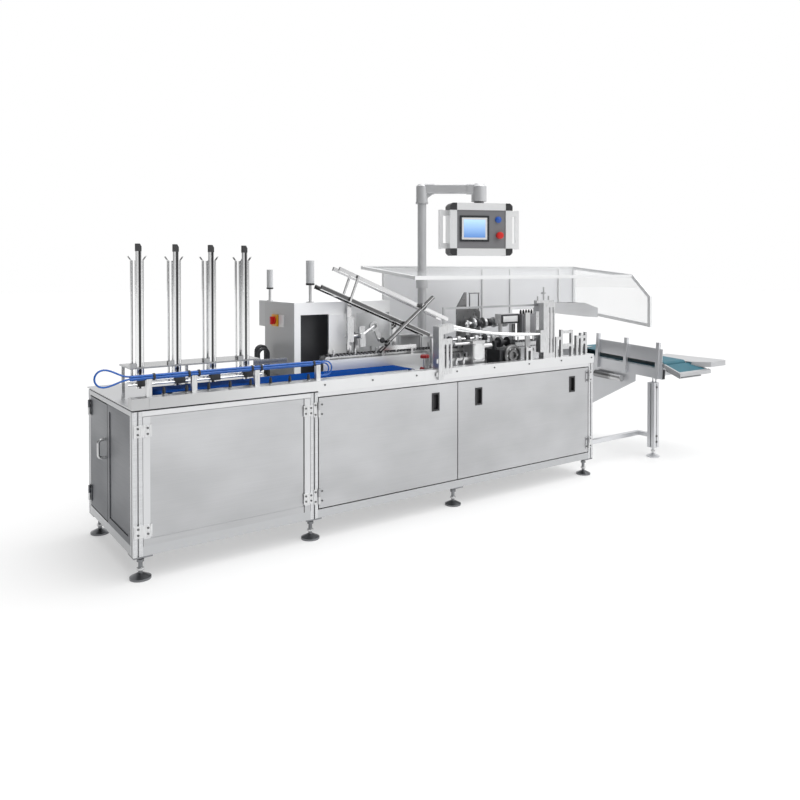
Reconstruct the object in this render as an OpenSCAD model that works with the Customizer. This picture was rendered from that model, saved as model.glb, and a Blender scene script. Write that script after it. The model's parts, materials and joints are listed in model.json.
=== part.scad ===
// Automatic cartoner: profile-framed base cabinet, stick magazines over a flat belt,
// carton chute, guard hood, operator panel on a swing arm, cross discharge conveyor.
// x runs along the machine from its left end, y from front to back, z up from the floor.

/* [Base frame] */
// Length of the base frame
frame_len = 3210; // [3100:10:3500]
// Depth of the base frame
frame_depth = 840; // [820:5:960]
// Height of the deck plate's top face
deck_z = 812; // [790:2:850]
// Height of the frame's underside above the floor
foot_h = 118; // [90:2:150]
// Width of posts and lower rails
profile = 45; // [40:1:60]
// Wall of the frame tubes
tube_wall = 3; // [2:0.5:5]
// Left face of the middle post
mid_x = 934; // [880:2:980]
// Centre of the seam between the two long doors
seam_x = 1960; // [1850:5:2050]
// Centre of the seam in the left end
end_seam_y = 447; // [420:1:470]
// Height of the upper rails
top_rail_h = 24; // [18:1:40]
// Diameter of a levelling foot
foot_d = 100; // [80:2:120]

/* [Doors and panels] */
// Thickness of doors and panels
door_t = 25; // [20:1:28]
// Gap around a swinging door
door_gap = 6; // [5:0.5:8]
// Gap around a fixed panel
panel_gap = 2; // [1:0.5:3]
// Border of a framed panel
border = 33; // [25:1:45]
// Height of a recessed pull
pull_h = 98; // [80:2:120]
// Width of a recessed pull
pull_w = 44; // [36:1:55]
// Height of the pulls' centre
pull_z = 664; // [560:2:690]
// Height of the lower door hinges
hinge_low_z = 236; // [220:2:300]
// Height of the upper door hinges
hinge_high_z = 706; // [640:2:710]

/* [Deck] */
// Thickness of the deck plate
deck_t = 6; // [4:0.5:10]
// Thickness of the gasket under the deck plate
seal_t = 8; // [5:0.5:12]
// Overhang of the deck plate
deck_over = 5; // [2:1:12]
// Height of the raised front beam
beam_h = 48; // [40:1:60]
// Depth of the raised front beam
beam_d = 60; // [50:1:62]

/* [Magazine] */
// Number of stick towers
towers = 4; // [2:1:4]
// Pitch of the towers
tower_pitch = 184; // [150:2:200]
// Left inner face of the first tower
tower_x = 70; // [60:2:120]
// Front inner face of the towers
tower_y = 160; // [140:2:170]
// Clear width of a tower
tower_w = 28; // [24:1:40]
// Clear depth of a tower
tower_d = 105; // [80:1:110]
// Height of the tall tower guide
tower_top = 1551; // [1300:5:1700]
// Height of the magazine plate's top face
mag_z = 988; // [960:2:1020]
// Thickness of the tower guides
guide_t = 3; // [2:0.5:4]

/* [Infeed belt] */
// Height of the belt's top face
belt_z = 866; // [864:1:900]
// Width of the belt
belt_w = 206; // [180:2:210]
// Front edge of the belt
belt_y = 72; // [70:1:80]
// Left end of the belt
belt_x0 = 150; // [150:5:200]
// Right end of the belt
belt_x1 = 1690; // [1600:5:1720]

/* [Carton feed] */
// Left face of the opener housing
house_x = 1066; // [1040:2:1080]
// Length of the opener housing
house_len = 690; // [640:5:690]
// Front face of the opener housing
house_y = 440; // [430:2:470]
// Height of the opener housing's top face
house_z = 1262; // [1200:2:1300]
// Fall of the carton chute
chute_angle = 22; // [18:0.5:24]

/* [Hood] */
// Left end of the hood
hood_x0 = 1790; // [1770:5:1850]
// Right end of the hood
hood_x1 = 3950; // [3800:10:3960]
// Height of the hood's rear edge
hood_z = 1485; // [1450:5:1520]
// Height of the hood roof's front edge
hood_front_z = 1420; // [1400:5:1440]
// Section of the hood bars
hood_bar = 24; // [20:1:30]

/* [Operator panel] */
// Column position along the machine
arm_x = 2100; // [2060:5:2150]
// Column position from the front
arm_y = 550; // [500:5:600]
// Reach of the arm
arm_reach = 390; // [360:5:450]
// Swing of the arm from the machine's length
arm_turn = -35; // [-60:1:0]
// Turn of the panel from the machine's front
box_turn = -24; // [-45:1:0]
// Width of the panel box
box_w = 440; // [400:5:460]
// Height of the panel box
box_h = 355; // [320:5:360]
// Depth of the panel box
box_d = 110; // [90:2:130]

/* [Discharge] */
// Left face of the discharge conveyor
disc_x = 4003; // [3980:2:4060]
// Front end of the discharge belt
disc_y0 = -20; // [-40:5:0]
// Rear end of the discharge belt
disc_y1 = 900; // [860:5:960]
// Height of the discharge belt at its front end
disc_z = 742; // [720:2:760]
// Fall of the discharge conveyor
disc_fall = 3.3; // [0:0.1:5]
// Width of the discharge belt
disc_w = 270; // [250:5:400]

/* [Hidden] */
$fn = 48;
fit = 0.08;
air = 0.3;
plate_t = 6;
frame_top = deck_z - deck_t - seal_t;
rail_z = foot_h + profile;
rail_top = frame_top - top_rail_h;
door_z0 = rail_z + door_gap;
door_z1 = rail_top - door_gap;
right_x = frame_len - profile;
back_y = frame_depth - profile;
hinge_off = 8;
knuckle_r = 7;
pin_r = 4;
leaf_l = 30;
leaf_h = 80;
beam_z = deck_z + beam_h;
beam_y0 = -deck_over;
belt_t = 3;
roller_r = 21;
belt_r = roller_r + belt_t;
belt_axis = belt_z - belt_r;
bed_t = 5;
tower_h0 = belt_z + 16;
mag_t = 8;
mag_back = tower_y + tower_d + 66;
hood_y1 = frame_depth;
hood_yf = 211;
nose_y = disc_y0 - 150;
side_w = 340;
chan_w = 16;
chan_h = 80;
disc_r = 24;
disc_right = disc_x + 2 * chan_w + disc_w + 2 * 4;
x_min = -hinge_off - knuckle_r - 25;
x_max = disc_right + side_w;
y_min = nose_y;
y_max = frame_depth + 150;
mid = [(x_min + x_max) / 2, (y_min + y_max) / 2, 0];

module place() { translate(-mid) children(); }

// Box from one corner to the opposite one
module span(a, b) { translate(a) cube(b - a); }

// Section of the slotted profile: a square with an undercut slot in each side and a bore
slot_w = 8;
slot_lip = 4;
slot_in = 16;
slot_d = 6;
module slotted(w, bore = 5) {
  difference() {
    square(w);
    translate([w / 2, w / 2]) {
      if (bore > 0) circle(r = bore);
      for (q = [0:90:270]) rotate(q) {
        translate([w / 2 - slot_lip - slot_d, -slot_in / 2]) square([slot_d, slot_in]);
        translate([w / 2 - slot_lip - 1, -slot_w / 2]) square([slot_lip + 2, slot_w]);
      }
    }
  }
}

module post(x, y, z0, z1) { translate([x, y, z0]) linear_extrude(z1 - z0) slotted(profile); }

// Tube along x, open at both ends
module rail_x(x0, x1, y, z, h) {
  difference() {
    span([x0, y, z], [x1, y + profile, z + h]);
    span([x0 - 1, y + tube_wall, z + tube_wall], [x1 + 1, y + profile - tube_wall, z + h - tube_wall]);
  }
}

// Tube along y, open at both ends
module rail_y(y0, y1, x, z, h) {
  difference() {
    span([x, y0, z], [x + profile, y1, z + h]);
    span([x + tube_wall, y0 - 1, z + tube_wall], [x + profile - tube_wall, y1 + 1, z + h - tube_wall]);
  }
}

seam_post_x = seam_x - profile / 2;
mull_y = end_seam_y - profile / 2;
set_back = door_t + 6;
post_xs = [0, mid_x, right_x];

module frame_posts() place() color([0.78, 0.79, 0.8]) {
  for (x = post_xs, y = [0, back_y]) post(x, y, foot_h, frame_top);
  for (y = [set_back, back_y]) post(seam_post_x, y, y == set_back ? rail_z : foot_h,
    y == set_back ? rail_top : frame_top);
  post(set_back, mull_y, rail_z, rail_top);
}

rail_spans_front = [[profile, mid_x], [mid_x + profile, right_x]];
rail_spans_back = [[profile, mid_x], [mid_x + profile, seam_post_x], [seam_post_x + profile, right_x]];

module frame_long_rails() place() color([0.8, 0.81, 0.82]) {
  for (s = rail_spans_front, z = [[foot_h, profile], [rail_top, top_rail_h]])
    rail_x(s[0], s[1], 0, z[0], z[1]);
  for (s = rail_spans_back, z = [[foot_h, profile], [rail_top, top_rail_h]])
    rail_x(s[0], s[1], back_y, z[0], z[1]);
}

module frame_cross_rails() place() color([0.8, 0.81, 0.82])
  for (x = [0, mid_x, seam_post_x, right_x], z = [[foot_h, profile], [rail_top, top_rail_h]])
    rail_y(profile, back_y, x, z[0], z[1]);

foot_in = 46;
foot_xs = [foot_in, mid_x + profile / 2, seam_x, frame_len - foot_in];

module foot(top) {
  cylinder(d = foot_d, h = 10);
  translate([0, 0, 10]) cylinder(d1 = foot_d, d2 = 34, h = 16);
  cylinder(d = 20, h = top);
  translate([0, 0, top - 36]) cylinder(d = 34, h = 12);
  translate([-45, -45, top - 8]) cube([90, 90, 8]);
}

module levelling_feet() place() color([0.7, 0.71, 0.72])
  for (x = foot_xs, y = [foot_in, frame_depth - foot_in]) translate([x, y, 0]) foot(foot_h);

module floor_pan() place() color([0.74, 0.75, 0.76])
  difference() {
    span([set_back, set_back, rail_z], [frame_len - set_back, frame_depth - set_back, rail_z + 2]);
    for (x = concat(post_xs, [seam_post_x]), y = [0, back_y])
      span([x - 1, y - 1, rail_z - 1], [x + profile + 1, y + profile + 1, rail_z + 3]);
    span([seam_post_x - 1, set_back - 1, rail_z - 1], [seam_post_x + profile + 1,
      set_back + profile + 1, rail_z + 3]);
    span([set_back - 1, mull_y - 1, rail_z - 1], [set_back + profile + 1, mull_y + profile + 1,
      rail_z + 3]);
  }

// Framed panel lying on its back: width w, height h, front face at z = 0 looking down
module framed_panel(w, h) {
  difference() {
    cube([w, h, door_t]);
    translate([border, border, -1]) cube([w - 2 * border, h - 2 * border, 5]);
    translate([border, border, 7]) cube([w - 2 * border, h - 2 * border, door_t]);
  }
}

// Folded door pan in the same position, with windows for pulls
module door_pan(w, h, pulls) {
  difference() {
    cube([w, h, door_t]);
    translate([2, 2, 2]) cube([w - 4, h - 4, door_t]);
    for (p = pulls) translate([p[0] - pull_w / 2, p[1] - pull_h / 2, -1]) cube([pull_w, pull_h, 5]);
  }
}

panel_z0 = rail_z;
panel_z1 = rail_top - panel_gap;
panel_h = panel_z1 - panel_z0;
// Stand a flat panel up so that it faces the front, the left, the right or the rear
module face_front(x, z) translate([x, 0, z]) rotate([90, 0, 0]) mirror([0, 0, 1]) children();
module face_left(y, z) translate([0, y, z]) rotate([90, 0, -90]) mirror([0, 0, 1]) children();
module face_right(y, z) translate([frame_len, y, z]) rotate([90, 0, 90]) mirror([0, 0, 1]) children();
module face_rear(x, z) translate([x, frame_depth, z]) rotate([90, 0, 180]) mirror([0, 0, 1]) children();

module front_left_panel() place() color([0.82, 0.83, 0.84])
  face_front(profile + panel_gap, panel_z0) framed_panel(mid_x - profile - 2 * panel_gap, panel_h);

// Screwed plates that hold the front left panel at both sides
plate_h = 58;
plate_on_panel = 43;
plate_on_post = 14;

module panel_plates()
  for (z = [hinge_low_z, hinge_high_z]) {
    span([3, -5, z - plate_h / 2], [profile + plate_on_panel, 0, z + plate_h / 2]);
    span([mid_x - plate_on_panel, -5, z - plate_h / 2], [mid_x + plate_on_post, 0, z + plate_h / 2]);
  }

end_panel_w = end_seam_y - door_gap / 2 - profile - panel_gap;

module end_panels() place() color([0.8, 0.81, 0.82]) {
  face_left(end_seam_y - door_gap / 2, panel_z0) framed_panel(end_panel_w, panel_h);
  face_right(profile + panel_gap, panel_z0) framed_panel(back_y - profile - 2 * panel_gap, panel_h);
}

module rear_panels() place() color([0.8, 0.81, 0.82])
  for (s = rail_spans_back)
    face_rear(s[1] - panel_gap, panel_z0) framed_panel(s[1] - s[0] - 2 * panel_gap, panel_h);

seal_in = 5;

module deck_seal() place() color([0.06, 0.06, 0.065]) {
  for (y = [seal_in, back_y]) span([seal_in, y, frame_top], [frame_len - seal_in,
    y + profile - seal_in, frame_top + seal_t]);
  for (x = [seal_in, right_x]) span([x, profile + air, frame_top], [x + profile - seal_in,
    back_y - air, frame_top + seal_t]);
}

module deck_plate() place() color([0.84, 0.85, 0.86])
  span([-deck_over, 0, deck_z - deck_t], [frame_len + deck_over, frame_depth + deck_over, deck_z]);

beam_wall = 6;
lip_x = mid_x + profile;
joint_x = 75;
joint_w = 1.5;

// Hollow beam with a corner block at its closed left end; its front wall runs down over the deck's edge,
// and over the gasket from the middle post on
module front_beam() place() color([0.85, 0.86, 0.87]) {
  difference() {
    span([-deck_over, beam_y0, deck_z], [frame_len + deck_over, beam_y0 + beam_d, beam_z]);
    span([-deck_over + beam_wall, beam_y0 + beam_wall, deck_z + beam_wall],
      [frame_len + deck_over + 1, beam_y0 + beam_d - beam_wall, beam_z - beam_wall]);
    difference() {
      span([joint_x, beam_y0 - 1, deck_z + 2], [joint_x + joint_w, beam_y0 + beam_d + 1, beam_z + 1]);
      span([joint_x - 1, beam_y0 + joint_w, deck_z], [joint_x + joint_w + 1, beam_y0 + beam_d - joint_w,
        beam_z - joint_w]);
    }
  }
  span([-deck_over, beam_y0, deck_z - deck_t], [frame_len + deck_over, 0, deck_z + 1]);
  span([lip_x, beam_y0, frame_top], [frame_len + deck_over, 0, deck_z]);
}

// Hinge halves about a vertical pin at the origin, door towards +x, wall side towards -x
module hinge_fixed() {
  translate([0, 0, -leaf_h / 2]) cylinder(r = knuckle_r, h = leaf_h / 2 - 1);
  translate([0, 0, -leaf_h / 2]) cylinder(r = pin_r, h = leaf_h - 1);
  translate([-leaf_l, hinge_off - 4, -leaf_h / 2]) cube([leaf_l - knuckle_r - 3, 4, leaf_h]);
  translate([-leaf_l, hinge_off - 4, -leaf_h / 2]) cube([leaf_l, 4, leaf_h / 2 - 1]);
}

module hinge_moving() {
  difference() {
    union() {
      cylinder(r = knuckle_r, h = leaf_h / 2);
      translate([0, hinge_off - 4, 0]) cube([leaf_l, 4, leaf_h / 2]);
    }
    translate([0, 0, -1]) cylinder(r = pin_r + fit, h = leaf_h);
  }
  translate([knuckle_r + 3, hinge_off - 4, -leaf_h / 2]) cube([leaf_l - knuckle_r - 3, 4, leaf_h]);
}

mid_hinge_x = mid_x + profile + door_gap / 2;
right_hinge_x = right_x - door_gap / 2;
end_hinge_y = back_y - door_gap / 2;
module at_mid_hinge() for (z = [hinge_low_z, hinge_high_z]) translate([mid_hinge_x, -hinge_off, z])
  children();
module at_right_hinge() for (z = [hinge_low_z, hinge_high_z]) translate([right_hinge_x, -hinge_off, z])
  mirror([1, 0, 0]) children();
module at_end_hinge() for (z = [hinge_low_z, hinge_high_z]) translate([-hinge_off, end_hinge_y, z])
  rotate([0, 0, -90]) children();

module hinge_plates() place() color([0.7, 0.71, 0.72]) {
  panel_plates();
  at_mid_hinge() hinge_fixed();
  at_right_hinge() hinge_fixed();
  at_end_hinge() hinge_fixed();
}

door_h = door_z1 - door_z0;
mid_door_x = mid_x + profile + door_gap;
mid_door_w = seam_x - door_gap / 2 - mid_door_x;
right_door_x = seam_x + door_gap / 2;
right_door_w = right_x - door_gap - right_door_x;
mid_pull = [[mid_door_w - 170, pull_z - door_z0]];
right_pulls = [[168, pull_z - door_z0], [right_door_w - 166, pull_z - door_z0]];

module middle_door() place() color([0.83, 0.84, 0.85]) {
  face_front(mid_door_x, door_z0) door_pan(mid_door_w, door_h, mid_pull);
  at_mid_hinge() hinge_moving();
}

module right_door() place() color([0.83, 0.84, 0.85]) {
  face_front(right_door_x, door_z0) door_pan(right_door_w, door_h, right_pulls);
  at_right_hinge() hinge_moving();
}

// Recessed pull cup in the lying position
module pull() {
  difference() {
    union() {
      translate([-pull_w / 2 - 6, -pull_h / 2 - 6, -3]) cube([pull_w + 12, pull_h + 12, 3]);
      translate([-pull_w / 2 + air, -pull_h / 2 + air, -1]) cube([pull_w - 2 * air, pull_h - 2 * air, 20]);
    }
    translate([-pull_w / 2 + 4, -pull_h / 2 + 4, -4]) cube([pull_w - 8, pull_h - 8, 20]);
  }
}

module middle_door_pull() place() color([0.05, 0.05, 0.055])
  face_front(mid_door_x, door_z0) for (p = mid_pull) translate(p) pull();

module right_door_pulls() place() color([0.05, 0.05, 0.055])
  face_front(right_door_x, door_z0) for (p = right_pulls) translate(p) pull();

end_door_y = end_seam_y + door_gap / 2;
end_door_w = back_y - door_gap - end_door_y;

module left_end_door() place() color([0.81, 0.82, 0.83]) {
  face_left(end_door_y + end_door_w, door_z0) door_pan(end_door_w, door_h, []);
  at_end_hinge() hinge_moving();
}

grip_r = 7.5;
grip_bend = 18;
grip_z = [488, 582];

// Bow handle: a bar, two bent corners and two ends that stand on the door
module end_door_handle() place() color([0.9, 0.9, 0.9]) translate([x_min + grip_r, end_door_y + 48, 0]) {
  translate([0, 0, grip_z[0] + grip_bend]) cylinder(r = grip_r, h = grip_z[1] - grip_z[0] - 2 * grip_bend);
  for (z = grip_z, up = [z == grip_z[0] ? 1 : -1]) {
    translate([grip_bend, 0, z + up * grip_bend]) rotate([90, 0, 0]) rotate([0, 0, up > 0 ? 180 : 90])
      rotate_extrude(angle = 90) translate([grip_bend, 0]) circle(r = grip_r);
    translate([grip_bend, 0, z]) rotate([0, 90, 0]) cylinder(r = grip_r, h = -x_min - grip_r - grip_bend);
  }
}

function tower_at(i) = tower_x + i * tower_pitch;
tower_out = [tower_w + 2 * guide_t, tower_d + 2 * guide_t];
leg_wide = tower_w - 4;
leg_slim = 7;
leg_back = 12;
leg_y = 18;
guide_step = 44;
flare_h = 22;
flare_out = 16;

// Corner angle of a tower about its outer corner, legs towards +x and +y, the y leg flared at its top
module guide(top, leg, flare) {
  h = top - tower_h0;
  cube([leg, guide_t, h]);
  translate([0, leg_y, 0]) rotate([90, 0, 0]) linear_extrude(leg_y)
    polygon(flare ? [[0, 0], [guide_t, 0], [guide_t, h], [guide_t - flare_out, h + flare_h],
      [-flare_out, h + flare_h], [0, h]]
      : [[0, 0], [guide_t, 0], [guide_t, h], [0, h]]);
}

module magazine_guides() place() color([0.8, 0.81, 0.82])
  for (i = [0:towers - 1]) translate([tower_at(i) - guide_t, tower_y - guide_t, tower_h0]) {
    guide(tower_top, leg_wide, false);
    translate([tower_out[0], 0, 0]) mirror([1, 0, 0]) guide(tower_top - guide_step, leg_slim, true);
    translate([0, tower_out[1], 0]) mirror([0, 1, 0]) guide(tower_top - guide_step, leg_back, true);
    translate([tower_out[0], tower_out[1], 0]) mirror([1, 0, 0]) mirror([0, 1, 0])
      guide(tower_top - guide_step, leg_back, true);
  }

cap_w = 26;
cap_d = 22;
cap_h = 37;

// Slant-topped caps on the tall guides
module magazine_caps() place() color([0.12, 0.12, 0.13])
  for (i = [0:towers - 1]) translate([tower_at(i) - guide_t - 2, tower_y - guide_t + cap_d - 2, tower_top])
    rotate([90, 0, 0]) linear_extrude(cap_d) polygon([[0, 0], [cap_w, 0], [cap_w, cap_h - 14],
      [cap_w - 8, cap_h], [0, cap_h]]);

mag_x0 = 30;
mag_x1 = tower_at(towers - 1) + tower_w + 60;
mag_post_w = 14;
mag_posts = [mag_x0 + 8, (mag_x0 + mag_x1 - mag_post_w) / 2, mag_x1 - 8 - mag_post_w];
strip_l = 196;
strip_drop = 34;
clamp_l = 30;

// Plate pierced by the towers, clamp blocks along its front edge, a hanging strip at its right end
module magazine_plate() place() color([0.86, 0.86, 0.86]) {
  for (i = [0:towers - 1]) span([tower_at(i) - clamp_l - 12, tower_y - 26, mag_z - 2],
    [tower_at(i) - 12, tower_y - 4, mag_z + 20]);
  span([mag_x1 - 40, tower_y - 20, mag_z - strip_drop], [mag_x1 - 40 + strip_l, tower_y - 14,
    mag_z - mag_t + 2]);
  difference() {
    span([mag_x0, tower_y - 20, mag_z - mag_t], [mag_x1, mag_back, mag_z]);
    for (i = [0:towers - 1]) translate([tower_at(i) - guide_t, tower_y - guide_t, mag_z - mag_t - 1])
      cube([tower_out[0], tower_out[1], mag_t + 2]);
  }
}

hose_r = 14;
hose_y = beam_y0 + 46;
hose_z = beam_z + 92;
hose_xs = [87, 308, 641, 1000];
hose_post_w = 26;
hose_post_d = 22;
hose_x0 = 0;
hose_x1 = hose_xs[3] + hose_post_w / 2;
strands = 5;
strand_r = 5;
strand_off = hose_r - strand_r;
function strand_at(i) = strand_off * [0, sin(i * 360 / strands), -cos(i * 360 / strands)];

// Posts under the magazine plate and the outfeed cover, and forked posts that carry the hose bundle
module deck_posts() place() color([0.75, 0.76, 0.77]) {
  for (x = mag_posts) span([x, mag_back - 4 - mag_post_w, deck_z], [x + mag_post_w, mag_back - 4,
    mag_z - mag_t]);
  for (x = cover_posts) span([x, cover_y1, deck_z], [x + cover_post_w, cover_y1 + cover_post_w,
    cover_z1 - 40]);
  difference() {
    for (x = hose_xs) span([x - hose_post_w / 2, hose_y - hose_post_d / 2, beam_z],
      [x + hose_post_w / 2, hose_y + hose_post_d / 2, hose_z - 4]);
    translate([hose_x0 - 1, hose_y, hose_z]) rotate([0, 90, 0])
      cylinder(r = hose_r + air, h = hose_x1 - hose_x0 + 2);
  }
}

// Strands round a thin core, each a hose of its own
module hose_bundle() place() color([0.05, 0.25, 0.75]) translate([hose_x0, hose_y, hose_z]) {
  rotate([0, 90, 0]) cylinder(r = strand_off - strand_r - air, h = hose_x1 - hose_x0);
  for (i = [0:strands - 1]) translate(strand_at(i)) rotate([0, 90, 0])
    cylinder(r = strand_r, h = hose_x1 - hose_x0);
}

// Smooth route through points, and a tube swept along it
function bend(a, b, c, d, t) = 0.5 * (2 * b + (c - a) * t + (2 * a - 5 * b + 4 * c - d) * t * t
  + (3 * b - a - 3 * c + d) * t * t * t);
function route(p, n) = let (m = len(p) - 1) concat(
  [for (i = [0:m - 1], k = [0:n - 1])
    bend(i == 0 ? 2 * p[0] - p[1] : p[i - 1], p[i], p[i + 1],
      i == m - 1 ? 2 * p[m] - p[m - 1] : p[i + 2], k / n)],
  [p[m]]);
function unit(v) = v / norm(v);
function heading(p, i) = unit(p[min(i + 1, len(p) - 1)] - p[max(i - 1, 0)]);
module tube(p, r, side, sides = 8) {
  m = len(p);
  rings = [for (i = [0:m - 1]) let (t = heading(p, i), u = unit(cross(t, side)), v = cross(t, u))
    for (k = [0:sides - 1]) p[i] + r * (cos(360 * k / sides) * u + sin(360 * k / sides) * v)];
  walls = [for (i = [0:m - 2], k = [0:sides - 1]) let (a = i * sides, b = a + sides, n = (k + 1) % sides)
    [a + k, a + n, b + n, b + k]];
  polyhedron(rings, concat([[for (k = [sides - 1:-1:0]) k]], walls,
    [[for (k = [0:sides - 1]) (m - 1) * sides + k]]));
}

loop_r = 4.5;
drop_r = 4;
hose_end = [hose_x0 - 0.5, hose_y, hose_z];
loop_bend = 40;
loop_reach = 118;
loop_up = 8;
function ease(u) = u * u * (3 - 2 * u);
function swing(a, b, u) = [a[0] + (b[0] - a[0]) * u, a[1] + (b[1] - a[1]) * u,
  a[2] + (b[2] - a[2]) * ease(u)];
loop_mid = hose_end + [-loop_reach, 0, loop_up];
loop_top = loop_mid + [0, 0, loop_bend];
loop_low = loop_mid - [0, 0, loop_bend];

// Free loop: out of one strand, round a half circle and back into another
loop_points = concat(
  [for (u = [0:0.2:0.8]) swing(hose_end + strand_at(2), loop_top, u)],
  [for (q = [90:36:270]) loop_mid + loop_bend * [cos(q), 0, sin(q)]],
  [for (u = [0.2:0.2:1]) swing(loop_low, hose_end + strand_at(4), u)]);

module air_hose_loop() place() color([0.05, 0.3, 0.85]) tube(route(loop_points, 2), loop_r, [0, 1, 0]);

drop_end = [hose_x1 + 0.5, hose_y, hose_z];

// Hose that leaves along x, turns down through a half circle and comes back below its start
function hook(start, run, r) = concat(
  [for (x = [0, run / 2]) start + [x, 0, 0]],
  [for (q = [90:-30:-90]) start + [run + r * cos(q), 0, r * sin(q) - r]],
  [for (x = [run / 2, 0]) start + [x, 0, -2 * r]]);
drop_a = hook(drop_end + strand_at(3), 34, 38);
drop_b = hook(drop_end + strand_at(1), 28, 33);

module air_hose_drops() place() color([0.05, 0.3, 0.85]) {
  tube(route(drop_a, 2), drop_r, [0, 1, 0]);
  tube(route(drop_b, 2), drop_r, [0, 1, 0]);
}

bed_y0 = belt_y - 4;
bed_y1 = belt_y + belt_w + 4;

guard_y = bed_y1 + plate_t + 2;
guard_x0 = 1180;
guard_x1 = 1990;

module infeed_bed() place() color([0.82, 0.83, 0.84]) {
  for (y = [bed_y0 - plate_t, bed_y1]) span([belt_x0 + 4, y, deck_z], [belt_x1 - 4, y + plate_t,
    belt_axis + 14]);
  span([belt_x0 + 60, bed_y0 - 1, belt_axis + roller_r - bed_t], [belt_x1 - 60, bed_y1 + 1,
    belt_axis + roller_r]);
  for (x = [belt_x0 + belt_r, belt_x1 - belt_r]) translate([x, bed_y0 - 1, belt_axis]) rotate([-90, 0, 0])
    cylinder(r = 8, h = bed_y1 - bed_y0 + 2);
  for (x = [belt_x0 + belt_r, belt_x1 - belt_r]) translate([x, belt_y, belt_axis]) rotate([-90, 0, 0])
    cylinder(r = roller_r - air, h = belt_w);
  span([guard_x0, guard_y, deck_z], [guard_x1, guard_y + plate_t, belt_z + 60]);
}

// Flat loop along x: outline of two round ends and a straight middle
module loop_2d(x0, x1, r) {
  translate([x0 + r, -r]) square([x1 - x0 - 2 * r, 2 * r]);
  translate([x0 + r, 0]) circle(r);
  translate([x1 - r, 0]) circle(r);
}

module infeed_belt() place() color([0.04, 0.13, 0.5])
  translate([0, belt_y + belt_w, belt_axis]) rotate([90, 0, 0]) linear_extrude(belt_w) difference() {
    loop_2d(belt_x0, belt_x1, belt_r);
    loop_2d(belt_x0 + belt_t, belt_x1 - belt_t, roller_r);
  }

chain_z = belt_z + 82;
track_ys = [guard_y + 24, guard_y + 84];
track_x0 = 1200;
track_x1 = frame_len - 30;
chain_r = 20;
link_t = 4;
link_w = 8;
cheek_t = 5;
lug_pitch = 152;

// Cheek plate behind each chain, with the strip that the chain slides on and its two sprockets
module chain_tracks() place() color([0.7, 0.71, 0.72])
  for (y = track_ys) {
    span([track_x0 + 8, y + link_w + 2, deck_z], [track_x1 - 8, y + link_w + 2 + cheek_t,
      chain_z - link_t]);
    span([track_x0 + 45, y, chain_z - link_t - 6], [track_x1 - 45, y + link_w + 3, chain_z - link_t]);
    for (x = [track_x0 + chain_r, track_x1 - chain_r]) translate([x, y, chain_z - chain_r])
      rotate([-90, 0, 0]) {
      cylinder(r = chain_r - link_t - air, h = link_w);
      cylinder(r = 9, h = link_w + 3);
    }
  }

module carton_chain() place() color([0.16, 0.16, 0.17])
  for (y = track_ys) {
    translate([0, y + link_w, chain_z - chain_r]) rotate([90, 0, 0]) linear_extrude(link_w) difference() {
      loop_2d(track_x0, track_x1, chain_r);
      loop_2d(track_x0 + link_t, track_x1 - link_t, chain_r - link_t);
    }
  }

module chain_lugs() place() color([0.75, 0.76, 0.77])
  for (y = track_ys, x = [track_x0 + 60:lug_pitch:track_x1 - 60])
    span([x, y, chain_z], [x + 8, y + link_w, chain_z + 34]);

house_x1 = house_x + house_len;
house_t = 4;
fascia_h = 74;
stile_w = 43;
panel_x = house_x + 232;
panel_w = 112;
proud = 8;

module opener_housing() place() color([0.9, 0.9, 0.9]) {
  span([house_x, house_y, deck_z], [house_x + house_t, frame_depth, house_z]);
  span([house_x, frame_depth - house_t, deck_z], [house_x1, frame_depth, house_z]);
  span([house_x, house_y, house_z - house_t], [house_x1, frame_depth, house_z]);
  span([house_x1 - house_t, house_y, deck_z], [house_x1, frame_depth, house_z]);
  span([house_x, house_y, house_z - fascia_h], [house_x1, house_y + house_t, house_z]);
  span([house_x, house_y, deck_z], [house_x + stile_w, house_y + house_t, house_z]);
  span([panel_x, house_y, deck_z], [panel_x + panel_w, house_y + house_t, house_z]);
  span([panel_x, house_y - proud, deck_z + 12], [panel_x + panel_w - 5, house_y + 1, house_z - fascia_h - 2]);
}

// Bent conduit on the deck: two legs and a half turn, given by its left leg, its place in y and its height
conduit_r = 9;
conduit_bend = 32;
conduits = [[930, 640, 176], [948, 700, 186], [966, 760, 182]];
module conduit(c) translate([c[0], c[1], deck_z]) {
  for (x = [0, 2 * conduit_bend]) translate([x, 0, 0]) cylinder(r = conduit_r,
    h = c[2] - conduit_bend - conduit_r);
  translate([conduit_bend, 0, c[2] - conduit_bend - conduit_r]) rotate([90, 0, 0])
    rotate_extrude(angle = 180) translate([conduit_bend, 0]) circle(r = conduit_r);
}

end_cap_t = 12;

// Dark back wall of the housing's recess, the conduits beside the housing, the gear box behind the disc,
// and the end cap of the discharge's left channel
module dark_fittings() place() color([0.08, 0.08, 0.09]) {
  span([gear_x, gear_y, deck_z], [gear_x + gear_w, gear_y + 125, gear_top]);
  for (x = [gear_x, gear_x + gear_w - 20]) span([x, gear_y + 50, gear_top - 1], [x + 20, gear_y + 75,
    gear_hub + 12]);
  translate([gear_x + 19, gear_y + 62, gear_hub]) rotate([0, 90, 0]) cylinder(r = 12, h = gear_w - 38);
  for (x = [gear_x + 40, gear_x + gear_w - 70]) translate([x, gear_y + 62, gear_hub]) rotate([0, 90, 0])
    cylinder(r = 34, h = 26);
  on_fall() span([disc_x, -end_cap_t, chan_z - chan_h + 4], [disc_x + chan_w, 0, chan_z - 4]);
  span([house_x + house_t, house_y + 90, deck_z], [panel_x + panel_w, house_y + 94, house_z - house_t]);
  for (c = conduits) conduit(c);
}

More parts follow.
